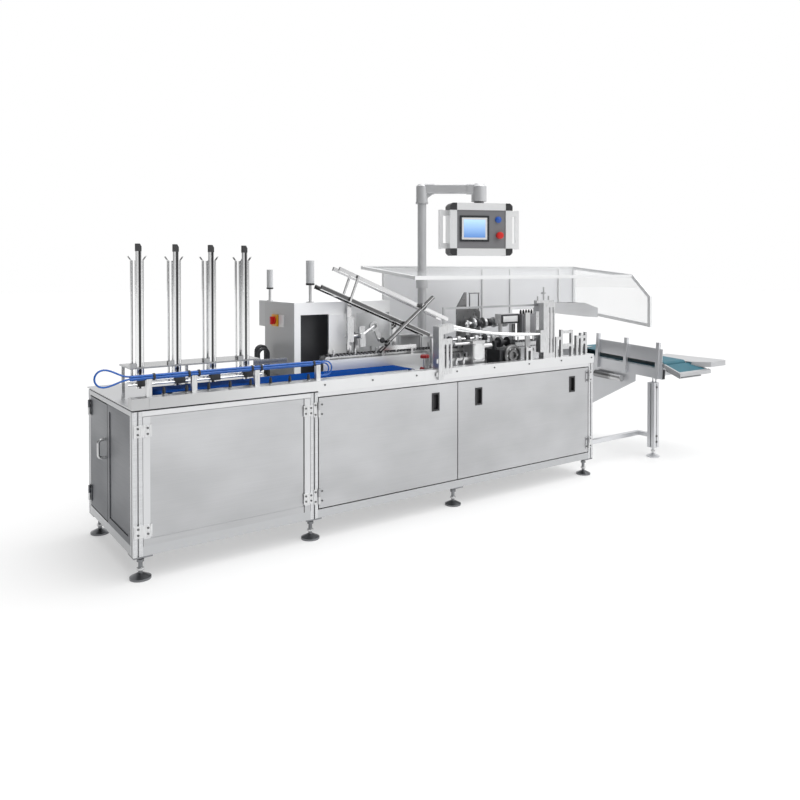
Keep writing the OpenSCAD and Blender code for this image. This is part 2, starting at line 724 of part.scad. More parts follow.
rear_box_d = 150;
module rear_box() place() color([0.75, 0.76, 0.77])
  span([house_x + 30, frame_depth, house_z - 167], [house_x + 560, frame_depth + rear_box_d, house_z - 2]);

switch_y = house_y + 243;
switch_z = house_z - 115;
switch_w = 72;
switch_t = 12;
knob_r = 24;
shaft_r = 8;

module at_switch() translate([house_x, switch_y, switch_z]) rotate([0, -90, 0]) children();

module switch_plate() place() color([0.9, 0.75, 0.05]) at_switch()
  difference() {
    translate([-switch_w / 2, -switch_w / 2, 0]) cube([switch_w, switch_w, switch_t]);
    translate([0, 0, 2]) cylinder(r = shaft_r + fit, h = switch_t);
  }

module switch_knob() place() color([0.8, 0.05, 0.05]) at_switch() {
  translate([0, 0, 3]) cylinder(r = shaft_r, h = switch_t);
  translate([0, 0, switch_t + 1]) cylinder(r = knob_r, h = 10);
  translate([-knob_r, -6, switch_t + 1]) cube([2 * knob_r, 12, 26]);
}

// Lamps: place on the housing's top, pole height, lamp height, lamp radius
lamps = [[house_x + 124, house_y + 30, 104, 149, 25], [house_x + 21, frame_depth - 30, 74, 124, 20]];
pole_r = 9;

module signal_poles() place() color([0.7, 0.7, 0.7])
  for (l = lamps) translate([l[0], l[1], house_z]) {
    cylinder(r = l[4], h = 5);
    cylinder(r = pole_r, h = l[2]);
  }

module signal_lamps() place() color([0.85, 0.86, 0.86])
  for (l = lamps) translate([l[0], l[1], house_z + l[2]]) cylinder(r = l[4], h = l[3]);

chute_y = [327, 400];
rail_w = 16;
rail_h = [28, 24];
chute_top = [1185, 1345];
chute_len = [870, 900];
chute_on = 75;
chute_up = 148;

// Run along the chute's fall from a point (x, z)
module down_chute(p, y) translate([p[0], y, p[1]]) rotate([0, chute_angle, 0]) children();

module chute_rails() place() color([0.82, 0.83, 0.84])
  for (y = chute_y) {
    down_chute(chute_top, y) cube([chute_len[0], rail_w, rail_h[0]]);
    down_chute(chute_top, y) translate([chute_on, 0, chute_up]) cube([chute_len[1], rail_w, rail_h[1]]);
  }

function chute_z(x) = chute_top[1] - (x - chute_top[0]) * tan(chute_angle);

strut_r = 13;
strut_a = [1649, 1006];
strut_b = [2012, 1281];
strut_y = chute_y[0] - strut_r - air;
strut_clamp = [1927, 1217];
brace_d = 205;
brace_w = 12;
strip_x = [1577, 1861];
strip_y = guard_y + plate_t;
strip_z = chain_z + 11;
strip_h = 26;

module bar_xz(a, b, y, r) translate([a[0], y, a[1]])
  rotate([0, 90 - atan2(b[1] - a[1], b[0] - a[0]), 0]) cylinder(r = r, h = norm(b - a));

module chute_supports() place() color([0.78, 0.79, 0.8]) {
  for (d = [120, 560]) down_chute(chute_top, chute_y[0] + rail_w)
    translate([d, 0, 4]) cube([24, chute_y[1] - chute_y[0] - rail_w, 20]);
  for (y = [chute_y[0] - brace_w, chute_y[1] + rail_w]) down_chute(chute_top, y)
    translate([brace_d, 0, 2]) cube([brace_w, brace_w, chute_up + rail_h[1] - 4]);
  for (x = [1420, 1760]) span([x, chute_y[1] + rail_w, deck_z], [x + 30, chute_y[1] + rail_w + 12,
    chute_z(x) + 24]);
  bar_xz(strut_a, strut_b, strut_y, strut_r);
  translate([strut_clamp[0], strut_y - 16, strut_clamp[1]]) rotate([0, chute_angle, 0])
    translate([-18, 0, -20]) cube([36, 16 + strut_r + air, 40]);
  span([strut_a[0] - 12, strip_y + 1, strip_z + strip_h - 1], [strut_a[0] + 12, strut_y + strut_r,
    strut_a[1] + 14]);
  for (x = [strip_x[0] + 22, strip_x[1] - 40]) span([x, strip_y, deck_z], [x + 18, strip_y + 10,
    strip_z + 2]);
  span([strip_x[0], strip_y, strip_z], [strip_x[1], strip_y + 10, strip_z + strip_h]);
}

arm_at = [1485, 1052];
ring_at = [1572, 1108];
ring_r = 30;
arm_plate_y = 352;

// Suction arm: shaft on a post, two pusher bars, a crank to a ring and its cup arm
module suction_arm() place() color([0.7, 0.71, 0.72]) {
  span([arm_at[0] - 15, 405, deck_z], [arm_at[0] + 15, 425, arm_at[1] + 20]);
  translate([arm_at[0], 426, arm_at[1]]) rotate([90, 0, 0]) cylinder(r = 17, h = 90);
  translate([1376, 372, arm_at[1]]) rotate([0, 90, 0]) cylinder(r = 9, h = 130);
  span([1384, arm_plate_y, 1018], [1428, arm_plate_y + 14, 1170]);
  span([1396, arm_plate_y + 10, 1036], [1416, 382, 1068]);
  translate([1476, arm_plate_y, arm_at[1] - 70]) rotate([0, -4, 0]) cube([40, 14, 128]);
  bar_xz(arm_at, ring_at, arm_plate_y, 10);
  translate([ring_at[0], arm_plate_y + 8, ring_at[1]]) rotate([90, 0, 0]) difference() {
    cylinder(r = ring_r, h = 16);
    translate([0, 0, -1]) cylinder(r = ring_r - 13, h = 18);
  }
  translate([ring_at[0] + 14, arm_plate_y - 6, ring_at[1] - 14]) rotate([0, 66, 0])
    translate([0, 0, -15]) cube([84, 12, 30]);
  translate([ring_at[0] + 44, arm_plate_y - 30, ring_at[1] - 88]) rotate([-90, 0, 0])
    cylinder(r1 = 15, r2 = 8, h = 26);
}

p1_x = 1795;
p1_w = 36;
p1_top = 1117;
p2_x = frame_len - 499;
p2_w = 44;
p2_top = 1237;
slot_plate_w = 72;
slot_plate_t = 10;
head_w = 118;

module slot_plate(h) {
  difference() {
    cube([slot_plate_w, slot_plate_t, h]);
    for (x = [12, 44]) {
      translate([x + 7, -1, 40]) rotate([-90, 0, 0]) cylinder(r = 7, h = slot_plate_t + 2);
      translate([x + 7, -1, h - 40]) rotate([-90, 0, 0]) cylinder(r = 7, h = slot_plate_t + 2);
      translate([x, -1, 40]) cube([14, slot_plate_t + 2, h - 80]);
    }
  }
}

// Two uprights on the front beam with slotted plates; a head block on the first, a yoke and screw on
// the second
module front_uprights() place() color([0.84, 0.85, 0.86]) {
  span([p1_x, beam_y0 - 16, deck_z - 14], [p1_x + p1_w, beam_y0, p1_top]);
  span([p1_x, beam_y0 - 16, beam_z], [p1_x + p1_w, 36, p1_top]);
  translate([p1_x + p1_w - 1, beam_y0 - 13, deck_z + 16]) slot_plate(214);
  translate([0, 36, 0]) rotate([90, 0, 0]) linear_extrude(36 - beam_y0 + 14)
    polygon([[p1_x + 12, p1_top - 50], [p1_x + head_w, p1_top - 36], [p1_x + head_w, p1_top + 14],
      [p1_x + 32, p1_top + 6], [p1_x + 12, p1_top - 2]]);
  span([p2_x, 0, beam_z], [p2_x + p2_w, 44, p2_top]);
  translate([p2_x + p2_w - 1, 4, beam_z]) slot_plate(p2_top - beam_z);
  span([p2_x - stop_w, 0, beam_z + 44], [p2_x + 1, 42, rod_end + 24]);
  span([p2_x - 56, 8, p2_top - 1], [p2_x + p2_w + 64, 36, p2_top + 16]);
  for (x = [-34, 22, 70]) translate([p2_x + x, 22, p2_top + 14]) cylinder(r = 6, h = x == 22 ? 90 : 30);
  translate([p2_x + 22, 22, p2_top + 58]) cylinder(r = 18, h = 12);
  for (z = [p1_top - 220, p1_top - 300]) span([p1_x - 14, beam_y0 - 12, z], [p1_x + 1, beam_y0 - 3,
    z + 26]);
}

rod_r = 9;
stop_w = 30;
rod_gap = 2;
rod_x0 = p1_x + head_w + rod_gap;
rod_x1 = p2_x - stop_w - air;
rod_end = 1028;
// Bent rods: place in y, height at the first upright, sag
rods = [[10, p1_top, 24], [32, p1_top - 20, 12]];

// Rod that sags along an arc from the first upright down to the stop on the second
module sagging_rod(y, z, sag) {
  chord = norm([rod_x1 - rod_x0, z - rod_end]);
  bow = chord * chord / (8 * sag) + sag / 2;
  half = asin(chord / 2 / bow);
  translate([rod_x0, y, z]) rotate([0, atan2(z - rod_end, rod_x1 - rod_x0), 0])
    translate([chord / 2, 0, bow - sag]) rotate([90, 0, 0]) rotate([0, 0, -90 - half])
    rotate_extrude(angle = 2 * half) translate([bow, 0]) circle(r = rod_r);
}

module folding_rods() place() color([0.8, 0.8, 0.8])
  for (r = rods) sagging_rod(r[0], r[1], r[2]);

drive_y = beam_y0 + beam_d + 5;
gear_x = 2390;
gear_w = 190;
disc_c = [2490, 892];
wheel_r = 72;
gear_y = drive_y + 25;
gear_top = 930;
gear_hub = 975;
motor_x = 2170;
motor_w = 100;
motor_top = 1000;
feed_y = 260;
feed_x = [2536, 2703];
feed_z = [1086, 1154];
feed_post_w = 18;
fin_x = 2353;
fin_y = 480;
clamp_x = 1762;

// Motor block with its shafts, the big disc, a feed box on posts, the tall rear plate with its bow, the
// clamp block and the discharge motor
module drive_units() place() color([0.55, 0.56, 0.57]) {
  translate([disc_c[0], gear_y, disc_c[1]]) rotate([90, 0, 0]) difference() {
    rotate_extrude() polygon([[0, 0], [wheel_r, 0], [wheel_r, 20], [wheel_r - 8, 25], [wheel_r - 16, 25],
      [wheel_r - 20, 14], [40, 14], [36, 25], [0, 25]]);
    translate([0, 0, 12]) cylinder(r = 24, h = 14);
  }
  span([motor_x, 100, deck_z], [motor_x + motor_w, 200, motor_top]);
  translate([motor_x + motor_w - 1, 150, 957]) rotate([0, 90, 0])
    cylinder(r = 18, h = gear_x - motor_x - motor_w - 20);
  translate([motor_x - 130, 130, 985]) rotate([0, 90, 0]) cylinder(r = 10, h = 131);
  translate([motor_x - 70, 150, 880]) rotate([0, 90, 0]) cylinder(r = 24, h = 72);
  span([motor_x - 190, 126, 880], [motor_x + 1, 140, 896]);
  for (x = [feed_x[0] + 12, feed_x[1] - 12 - feed_post_w]) span([x, feed_y - 10, deck_z],
    [x + feed_post_w, feed_y + 10, feed_z[0] + 1]);
  span([feed_x[0], feed_y - 30, feed_z[0]], [feed_x[1], feed_y + 30, feed_z[1]]);
  span([feed_x[1] + 34, 196, deck_z], [feed_x[1] + 78, 204, feed_z[1] + 6]);
  translate([0, fin_y + 12, 0]) rotate([90, 0, 0]) linear_extrude(12)
    polygon([[fin_x, deck_z], [fin_x + 214, deck_z], [fin_x + 214, 1160], [fin_x + 190, 1183],
      [fin_x + 88, 1183],
      [fin_x + 88, 1300], [fin_x + 73, 1300], [fin_x, 1194]]);
  for (x = [fin_x + 121, fin_x + 205]) translate([x, fin_y + 6, x < fin_x + 200 ? 1180 : 1150])
    cylinder(r = 5, h = 1293 - (x < fin_x + 200 ? 1180 : 1150));
  translate([fin_x + 116, fin_y + 6, 1293]) rotate([0, 90, 0]) cylinder(r = 5, h = 94);
  span([fin_x - 30, fin_y + 11, deck_z], [fin_x + 240, fin_y + 90, deck_z + 60]);
  span([clamp_x, 70, deck_z], [clamp_x + 86, 120, beam_z]);
  for (c = [[clamp_x + 12, 62], [clamp_x + 60, 24]]) translate([c[0], 95, beam_z - 1])
    cylinder(r = 7, h = c[1]);
  on_fall() translate([disc_x - 23.2, 360, chan_z - chan_h - 52]) rotate([-90, 0, 0])
    cylinder(r = 28, h = 270);
}

exit_w = 19;
exit_y = 14;
// Posts: place in x, height
exit_posts = concat([for (d = [148, 107]) [p2_x - d, 944]],
  [for (e = [[364, 998], [314, 1045], [210, 1039], [158, 997], [112, 1014], [64, 1017]])
    [frame_len - e[0], e[1]]]);
// Cross bars: first and last post, height
exit_bars = [[0, 1, 920], [2, 3, 978], [3, 4, 1018], [3, 4, 926], [5, 7, 976], [6, 7, 936]];

module exit_guides() place() color([0.86, 0.87, 0.88]) {
  for (e = exit_posts) span([e[0], exit_y, beam_z], [e[0] + exit_w, exit_y + exit_w, e[1]]);
  for (b = exit_bars) span([exit_posts[b[0]][0], exit_y, b[2]], [exit_posts[b[1]][0] + exit_w,
    exit_y + exit_w, b[2] + exit_w]);
}

cover_x0 = frame_len - 150;
cover_x1 = frame_len + 400;
cover_y0 = 290;
cover_y1 = 430;
cover_z0 = 1090;
cover_z1 = 1215;
cover_post_w = 30;
cover_posts = [cover_x0 + 20, frame_len - 40];
cover_slots = 7;
guide_bar_x = 2169;
guide_bar_y = 400;
guide_bar_z = 1190;
guide_bar_w = 14;

// Hold-down unit over the outfeed: a tapered cover with a sloped nose and slots across its top, and the
// long guide bar that runs back from it to a post of its own
module outfeed_cover() place() color([0.85, 0.86, 0.86]) {
  span([guide_bar_x, guide_bar_y, guide_bar_z], [cover_x0 + 1, guide_bar_y + guide_bar_w,
    guide_bar_z + guide_bar_w]);
  span([guide_bar_x, guide_bar_y, deck_z], [guide_bar_x + guide_bar_w, guide_bar_y + guide_bar_w,
    guide_bar_z + 1]);
  difference() {
    translate([0, cover_y1, 0]) rotate([90, 0, 0]) linear_extrude(cover_y1 - cover_y0)
      polygon([[cover_x0, cover_z0 + 60], [cover_x1, cover_z0], [cover_x1, cover_z1 - 52],
        [cover_x1 - 150, cover_z1 - 8], [cover_x0, cover_z1]]);
    for (i = [0:cover_slots - 1]) span([cover_x0 + 90 + i * 40, cover_y0 + 20, cover_z1 - 24],
      [cover_x0 + 110 + i * 40, cover_y1 - 20, cover_z1 + 1]);
  }
}

hood_posts_x = [hood_x0 + 176, frame_len - 320, frame_len - hood_bar];
hood_hang_x = hood_x1 - 205;
hood_nose = [45, 1254];
hood_low = [1015, 1107];
end_x = hood_x1 - hood_bar;

// Rear posts on the deck, and a hanging bar that divides the wall beyond the frame
module hood_posts() place() color([0.85, 0.86, 0.87]) {
  for (x = hood_posts_x) span([x, hood_y1 - hood_bar, deck_z], [x + hood_bar, hood_y1, hood_z - hood_bar]);
  span([hood_hang_x, hood_y1 - hood_bar, hood_low[1] + 30], [hood_hang_x + hood_bar, hood_y1,
    hood_z - hood_bar]);
}

// Bar in the plane of the hood's end from a to b, given as (y, z), its width to the inside
module end_bar(a, b) translate([end_x, a[0], a[1]]) rotate([atan2(b[1] - a[1], b[0] - a[0]), 0, 0])
  cube([hood_bar, norm(b - a), hood_bar]);

hood_outline = [[hood_y1, hood_z], [hood_yf, hood_front_z], hood_nose, [hood_nose[0], hood_low[0]],
  [hood_y1, hood_low[1]]];

module hood_rails() place() color([0.85, 0.86, 0.87]) {
  span([hood_x0, hood_y1 - hood_bar, hood_z - hood_bar], [end_x - air, hood_y1, hood_z]);
  span([hood_x0, hood_yf, hood_front_z - hood_bar], [end_x - air, hood_yf + hood_bar, hood_front_z]);
  translate([hood_x0 + hood_bar, 0, 0]) rotate([90, 0, -90]) linear_extrude(hood_bar)
    polygon([[-hood_yf - 2, hood_front_z - hood_bar + 2], [-hood_y1 + 2, hood_z - hood_bar + 2],
      [-hood_y1 + 2, hood_z - 2], [-hood_yf - 2, hood_front_z - 2]]);
  for (i = [0:4]) end_bar(hood_outline[i], hood_outline[(i + 1) % 5]);
}

sheet_t = 4;
sheet_in = 14;
function on_roof(y) = hood_front_z + (y - hood_yf) * (hood_z - hood_front_z) / (hood_y1 - hood_yf) - 10;

module hood_back() place() color([0.72, 0.73, 0.74]) {
  for (i = [0, 1]) span([hood_posts_x[i] + hood_bar, hood_y1 - sheet_in, deck_z],
    [hood_posts_x[i + 1], hood_y1 - sheet_in + sheet_t, hood_z - hood_bar]);
  for (x = [[frame_len, hood_hang_x], [hood_hang_x + hood_bar, end_x]]) span([x[0], hood_y1 - sheet_in,
    hood_low[1] + 30], [x[1], hood_y1 - sheet_in + sheet_t, hood_z - hood_bar]);
}

roof_in = [hood_yf + hood_bar, hood_y1 - hood_bar];

module hood_skins() place() color([0.9, 0.93, 0.94, 0.5]) {
  difference() {
    translate([hood_x0 + hood_bar, 0, 0]) rotate([90, 0, 90])
      linear_extrude(end_x - air - hood_x0 - hood_bar)
      polygon([[roof_in[0], on_roof(roof_in[0])], [roof_in[1], on_roof(roof_in[1])],
        [roof_in[1], on_roof(roof_in[1]) + sheet_t], [roof_in[0], on_roof(roof_in[0]) + sheet_t]]);
    translate([arm_x, arm_y, hood_front_z - 60]) cylinder(r = col_r + 8, h = 200);
  }
  translate([hood_x1, 0, 0]) rotate([90, 0, 90]) linear_extrude(sheet_t) polygon(hood_outline);
}

col_r = 30;
col_top = 1905;
arm_lift = 74;
arm_z = col_top + arm_lift;
arm_h = 62;
arm_w = 56;
spigot_r = 20;
spigot_h = 60;
pivot_r = 15;
pivot_h = 42;
elbow_r = 40;
head_r = 52;
head_drop = 55;
head_z = arm_z - head_drop;

module cylinder_span(r, z0, z1) translate([0, 0, z0]) cylinder(r = r, h = z1 - z0);
module at_column() translate([arm_x, arm_y, 0]) children();
module at_head() at_column() rotate([0, 0, arm_turn]) translate([arm_reach, 0, 0])
  rotate([0, 0, -arm_turn]) children();
module at_box() at_head() rotate([0, 0, box_turn]) children();

module hmi_column() place() color([0.84, 0.85, 0.86]) at_column() {
  cylinder_span(75, deck_z, deck_z + 12);
  cylinder_span(col_r + 10, deck_z + 11, deck_z + 60);
  cylinder_span(col_r, deck_z, col_top);
  cylinder_span(spigot_r, col_top - 1, col_top + spigot_h);
}

// Section of the arm's tube with rounded corners
module soft_box(w, h, r) {
  translate([-w / 2 + r, 0]) square([w - 2 * r, h]);
  translate([-w / 2, r]) square([w, h - 2 * r]);
  for (x = [-w / 2 + r, w / 2 - r], y = [r, h - r]) translate([x, y]) circle(r);
}

// Swing arm: elbow over the column with its gusset, tube, and a domed head over the panel's pivot
module hmi_arm() place() color([0.86, 0.87, 0.88])
  difference() {
    union() {
      at_column() {
        cylinder_span(elbow_r, col_top + 3, arm_z + arm_h - 12);
        translate([0, 0, arm_z + arm_h - 12]) cylinder(r1 = elbow_r, r2 = elbow_r - 14, h = 14);
        cylinder_span(elbow_r + 3, col_top + 3, col_top + 18);
      }
      at_column() rotate([0, 0, arm_turn]) {
        translate([0, 0, arm_z]) rotate([90, 0, 90]) linear_extrude(arm_reach) soft_box(arm_w, arm_h, 10);
        translate([20, 0, arm_z - 4]) rotate([90, 0, 90]) linear_extrude(64)
          soft_box(arm_w + 8, arm_h + 8, 12);
        translate([arm_reach - 84, 0, arm_z - 4]) rotate([90, 0, 90]) linear_extrude(50)
          soft_box(arm_w + 8, arm_h + 8, 12);
        translate([0, arm_w / 2 - 8, 0]) rotate([90, 0, 0]) linear_extrude(arm_w - 16)
          polygon([[elbow_r - 8, arm_z - 34], [elbow_r + 44, arm_z + 2], [elbow_r - 8, arm_z + 2]]);
      }
      at_head() {
        cylinder_span(head_r, head_z, arm_z + arm_h - 14);
        translate([0, 0, arm_z + arm_h - 14]) cylinder(r1 = head_r, r2 = head_r - 20, h = 20);
      }
    }
    at_column() cylinder_span(spigot_r + fit, col_top, col_top + spigot_h + 3);
    at_head() cylinder_span(pivot_r + fit, head_z - 1, head_z + pivot_h + 4);
  }

box_z1 = head_z - 14;
box_z0 = box_z1 - box_h;
trim = 48;
trim_out = 6;
neck_r = 34;
handle_out = 62;
handle_t = 24;
handle_d = 36;
handle_arm = 36;
handle_in = 45;

module hmi_box() place() color([0.72, 0.73, 0.75]) at_box() {
  span([-box_w / 2 + trim, -box_d / 2, box_z0 + trim], [box_w / 2 - trim, box_d / 2, box_z1 - trim]);
  cylinder_span(neck_r, box_z1 - trim - 1, head_z - 3);
  cylinder_span(pivot_r, head_z - 4, head_z + pivot_h);
}

// Trim bars round the box, with a flat bow handle on each side
module hmi_trim() place() color([0.9, 0.91, 0.92]) at_box() {
  difference() {
    for (z = [box_z0, box_z1 - trim]) span([-box_w / 2 + trim, -box_d / 2 - trim_out, z],
      [box_w / 2 - trim, box_d / 2 + trim_out, z + trim]);
    cylinder_span(neck_r + air, box_z1 - trim - 1, box_z1 + 1);
  }
  for (m = [0, 1]) mirror([m, 0, 0]) translate([box_w / 2, 0, 0]) {
    span([-trim, -box_d / 2 - trim_out, box_z0 + trim + air], [0, box_d / 2 + trim_out,
      box_z1 - trim - air]);
    span([handle_out - handle_t, -handle_d / 2, box_z0 + handle_in], [handle_out, handle_d / 2,
      box_z1 - handle_in]);
    for (z = [box_z0 + trim + air, box_z1 - trim - air - handle_arm])
      span([-1, -handle_d / 2, z], [handle_out - handle_t + 1, handle_d / 2, z + handle_arm]);
  }
}

module hmi_corners() place() color([0.08, 0.08, 0.09]) at_box()
  for (sx = [0, 1], sz = [0, 1]) mirror([sx, 0, 0]) translate([-box_w / 2, box_d / 2 + trim_out + 2,
    sz ? box_z1 : box_z0])
    rotate([90, 0, 0]) mirror([0, sz, 0]) linear_extrude(box_d + 2 * trim_out + 4) intersection() {
      square(trim - air);
      translate([trim, trim]) circle(r = trim * 1.16);
    }

screen_w = 206;
screen_h = 176;
screen_in = 20;
screen_up = 46;

// Screen bezel with a raised rim round the glass
module hmi_screen() place() color([0.06, 0.07, 0.09]) at_box()
  translate([-box_w / 2 + trim + screen_in, -box_d / 2, box_z0 + trim + screen_up]) rotate([90, 0, 0])
    difference() {
    cube([screen_w, screen_h, 6]);
    translate([14, 14, 3]) cube([screen_w - 28, screen_h - 28, 4]);
  }

disc_len = disc_y1 - disc_y0;
disc_belt_t = 3;
side_gap = 4;
chan_z = -54;
gusset_t = 6;
gusset_y0 = 250;
gusset_y1 = disc_len - 165;
gusset_h = [56, 372];
gusset_in = 5;

// Tilted frame of the discharge: y from its front end, z from the belt's top face
module on_fall() translate([0, disc_y0, disc_z]) rotate([disc_fall, 0, 0]) children();

module discharge_frame() place() color([0.8, 0.81, 0.82]) on_fall() {
  for (x = [disc_x, disc_right - chan_w]) {
    span([x, 0, chan_z - chan_h], [x + chan_w, disc_len, chan_z]);
    for (y = [disc_r, disc_len - disc_r]) span([x, y - 15, chan_z - 1], [x + chan_w, y + 15, -disc_r + 12]);
  }
  translate([disc_x + gusset_in, 0, 0]) rotate([90, 0, 90]) linear_extrude(gusset_t)
    polygon([[gusset_y0, chan_z - chan_h + 1], [gusset_y0, chan_z - chan_h - gusset_h[0]],
      [gusset_y1, chan_z - chan_h - gusset_h[1]], [gusset_y1, chan_z - chan_h + 1]]);
  for (y = [100, disc_len / 2, disc_len - 140]) span([disc_x + chan_w - 1, y, chan_z - chan_h],
    [disc_right - chan_w + 1, y + 40, chan_z - 4]);
  for (y = [disc_r, disc_len - disc_r]) translate([disc_x + chan_w - 1, y, -disc_r]) rotate([0, 90, 0])
    cylinder(r = 8, h = disc_right - disc_x - 2 * chan_w + 2);
  for (y = [disc_r, disc_len - disc_r]) translate([disc_x + chan_w + side_gap, y, -disc_r])
    rotate([0, 90, 0])
    cylinder(r = disc_r - disc_belt_t - air, h = disc_w);
}

// Belt loop, and the mat of the same cloth on the nose plate
module discharge_belt() place() color([0.1, 0.5, 0.5]) {
  on_fall() translate([disc_x + chan_w + side_gap, 0, -disc_r]) rotate([90, 0, 90]) linear_extrude(disc_w)
    difference() {
    loop_2d(0, disc_len, disc_r);
    loop_2d(disc_belt_t, disc_len - disc_belt_t, disc_r - disc_belt_t);
  }
  difference() {
    nose_strip(disc_x + nose_rim_w + 1, nose_right - 1, nose_in - disc_belt_t, disc_belt_t, nose_back - 1,
      nose_y + nose_rim_w + 1);
    translate([-1, 0, disc_z - 150]) linear_extrude(200) tray_shape();
  }
}

guide_len = 640;
guide_post_w = 26;
guide_post_h = 150;
bed_front_y = disc_y0 + guide_len + 30;

// Guide plate on posts along the left side, as far as the bed that brings the cartons over
module discharge_guides() place() color([0.78, 0.79, 0.8]) on_fall() {
  span([disc_x, 10, -10], [disc_x + 4, guide_len, 100]);
  for (y = [28, guide_len / 2 + 8, guide_len - 28])
    span([disc_x - guide_post_w, y, chan_z - chan_h], [disc_x, y + guide_post_w, guide_post_h]);
}

leg_w = 62;
leg_ys = [disc_y0 + 52, disc_len - 70 + disc_y0];
leg_x0 = disc_x - 38;
leg_z0 = 74;
leg_z1 = 580;
brace_z = 150;
brace_h = 30;
brace_y = 180;

module discharge_leg() place() color([0.8, 0.81, 0.82]) {
  for (y = leg_ys) {
    translate([leg_x0 + leg_w / 2, y + leg_w / 2, 0]) {
      cylinder(d = foot_d, h = 10);
      translate([0, 0, 10]) cylinder(d1 = foot_d, d2 = 34, h = 16);
      cylinder(d = 20, h = leg_z0 + 6);
    }
    translate([leg_x0, y, leg_z0 + 5]) linear_extrude(leg_z1 - leg_z0 - 10) slotted(leg_w, 0);
    for (z = [leg_z0, leg_z1 - 6]) span([leg_x0, y, z], [leg_x0 + leg_w, y + leg_w, z + 6]);
    on_fall() for (d = [10, 38]) translate([disc_x + chan_w / 2, y + d - disc_y0,
      chan_z - chan_h - 100]) cylinder(r = 6, h = 100);
  }
  span([leg_x0 + 12, leg_ys[0] + leg_w - 1, brace_z], [leg_x0 + 50, brace_y + 40, brace_z + brace_h]);
  span([frame_len + 7, brace_y, brace_z], [leg_x0 + 13, brace_y + 40, brace_z + brace_h]);
  span([frame_len, 5, brace_z - 10], [frame_len + 8, brace_y + 45, brace_z + brace_h + 10]);
}

tray_t = 6;
tray_z = disc_z - 12;
tray_rim = 38;
tray_r = 60;
tray_back = 400;
tray_cut = [94, 110];
nose_back = disc_y0 - 6;
nose_top = disc_z - 15;
nose_drop = 55;
nose_in = 8;
nose_rim_w = 20;
nose_rim_h = 27;
nose_right = disc_right + tray_cut[0];
nose_pan_x = disc_x + chan_w + 8;
nose_pan_x1 = disc_right - 8;
nose_pan_h = 42;

// Right-hand side table: its left front corner cut off, its right front corner rounded
module tray_shape() {
  difference() {
    translate([disc_right, nose_y]) square([side_w, tray_back - nose_y]);
    translate([x_max - tray_r, nose_y - 1]) square(tray_r + 1);
    polygon([[disc_right - 1, nose_y - 1], [nose_right, nose_y - 1], [nose_right, nose_y],
      [disc_right, nose_y + tray_cut[1]], [disc_right - 1, nose_y + tray_cut[1]]]);
  }
  translate([x_max - tray_r, nose_y + tray_r]) circle(tray_r);
}

// Strip that falls from the belt to the nose: its run in x, its depth below the rim's top, its thickness
module nose_strip(x0, x1, down, t, y0 = nose_back, y1 = nose_y) {
  fall = nose_drop / (nose_back - nose_y);
  translate([x0, 0, 0]) rotate([90, 0, 90]) linear_extrude(x1 - x0)
    polygon([for (c = [[y0, 0], [y0, t], [y1, t], [y1, 0]])
      [c[0], nose_top - down - c[1] - (nose_back - c[0]) * fall]]);
}

module discharge_tables() place() color([0.82, 0.82, 0.82]) {
  translate([0, 0, tray_z - tray_rim]) linear_extrude(tray_rim) tray_shape();
  for (y = [60, 300]) span([disc_right, y, disc_z - 90], [disc_right + 160, y + 10, tray_z - tray_rim + 1]);
  nose_strip(disc_x, nose_right, nose_in, tray_t);
  nose_strip(disc_x, disc_x + nose_rim_w, 0, nose_rim_h);
  nose_strip(disc_x, nose_right, 0, nose_rim_h, nose_y + nose_rim_w, nose_y);
  for (x = [nose_pan_x, nose_pan_x1 - tray_t])
    nose_strip(x, x + tray_t, nose_in + 1, nose_pan_h, nose_back - 4, nose_y + nose_rim_w);
  nose_strip(nose_pan_x, nose_pan_x1, nose_in + 1 + nose_pan_h - tray_t, tray_t, nose_back - 4,
    nose_y + nose_rim_w);
  span([frame_len + deck_over, bed_front_y, deck_z - deck_t], [disc_x - 20, frame_depth, deck_z]);
  for (y = [bed_front_y + 10, frame_depth - 20]) translate([0, y + 6, 0]) rotate([90, 0, 0])
    linear_extrude(6)
    polygon([[frame_len + deck_over + 1, deck_z - deck_t + 1], [frame_len, deck_z - deck_t - 2],
      [frame_len, deck_z - 162],
      [disc_x - 100, deck_z - 24], [disc_x - 100, deck_z - deck_t + 1]]);
}

frame_posts();
frame_long_rails();
frame_cross_rails();
levelling_feet();
floor_pan();
front_left_panel();
hinge_plates();
end_panels();
rear_panels();
deck_seal();
deck_plate();
front_beam();
middle_door();
middle_door_pull();
right_door();
right_door_pulls();
left_end_door();
end_door_handle();
magazine_guides();
magazine_caps();
magazine_plate();
deck_posts();
hose_bundle();
air_hose_loop();
air_hose_drops();
infeed_bed();
infeed_belt();
chain_tracks();
carton_chain();
chain_lugs();
opener_housing();
dark_fittings();
rear_box();
switch_plate();
switch_knob();
signal_poles();
signal_lamps();
chute_rails();
chute_supports();
suction_arm();
front_uprights();
folding_rods();
drive_units();
exit_guides();
outfeed_cover();
hood_posts();
hood_rails();
hood_back();
hood_skins();
hmi_column();
hmi_arm();
hmi_box();
hmi_trim();
hmi_corners();
hmi_screen();
discharge_frame();
discharge_belt();
discharge_guides();
discharge_leg();
discharge_tables();
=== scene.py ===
import json
import math
import bpy
from mathutils import Matrix, Vector


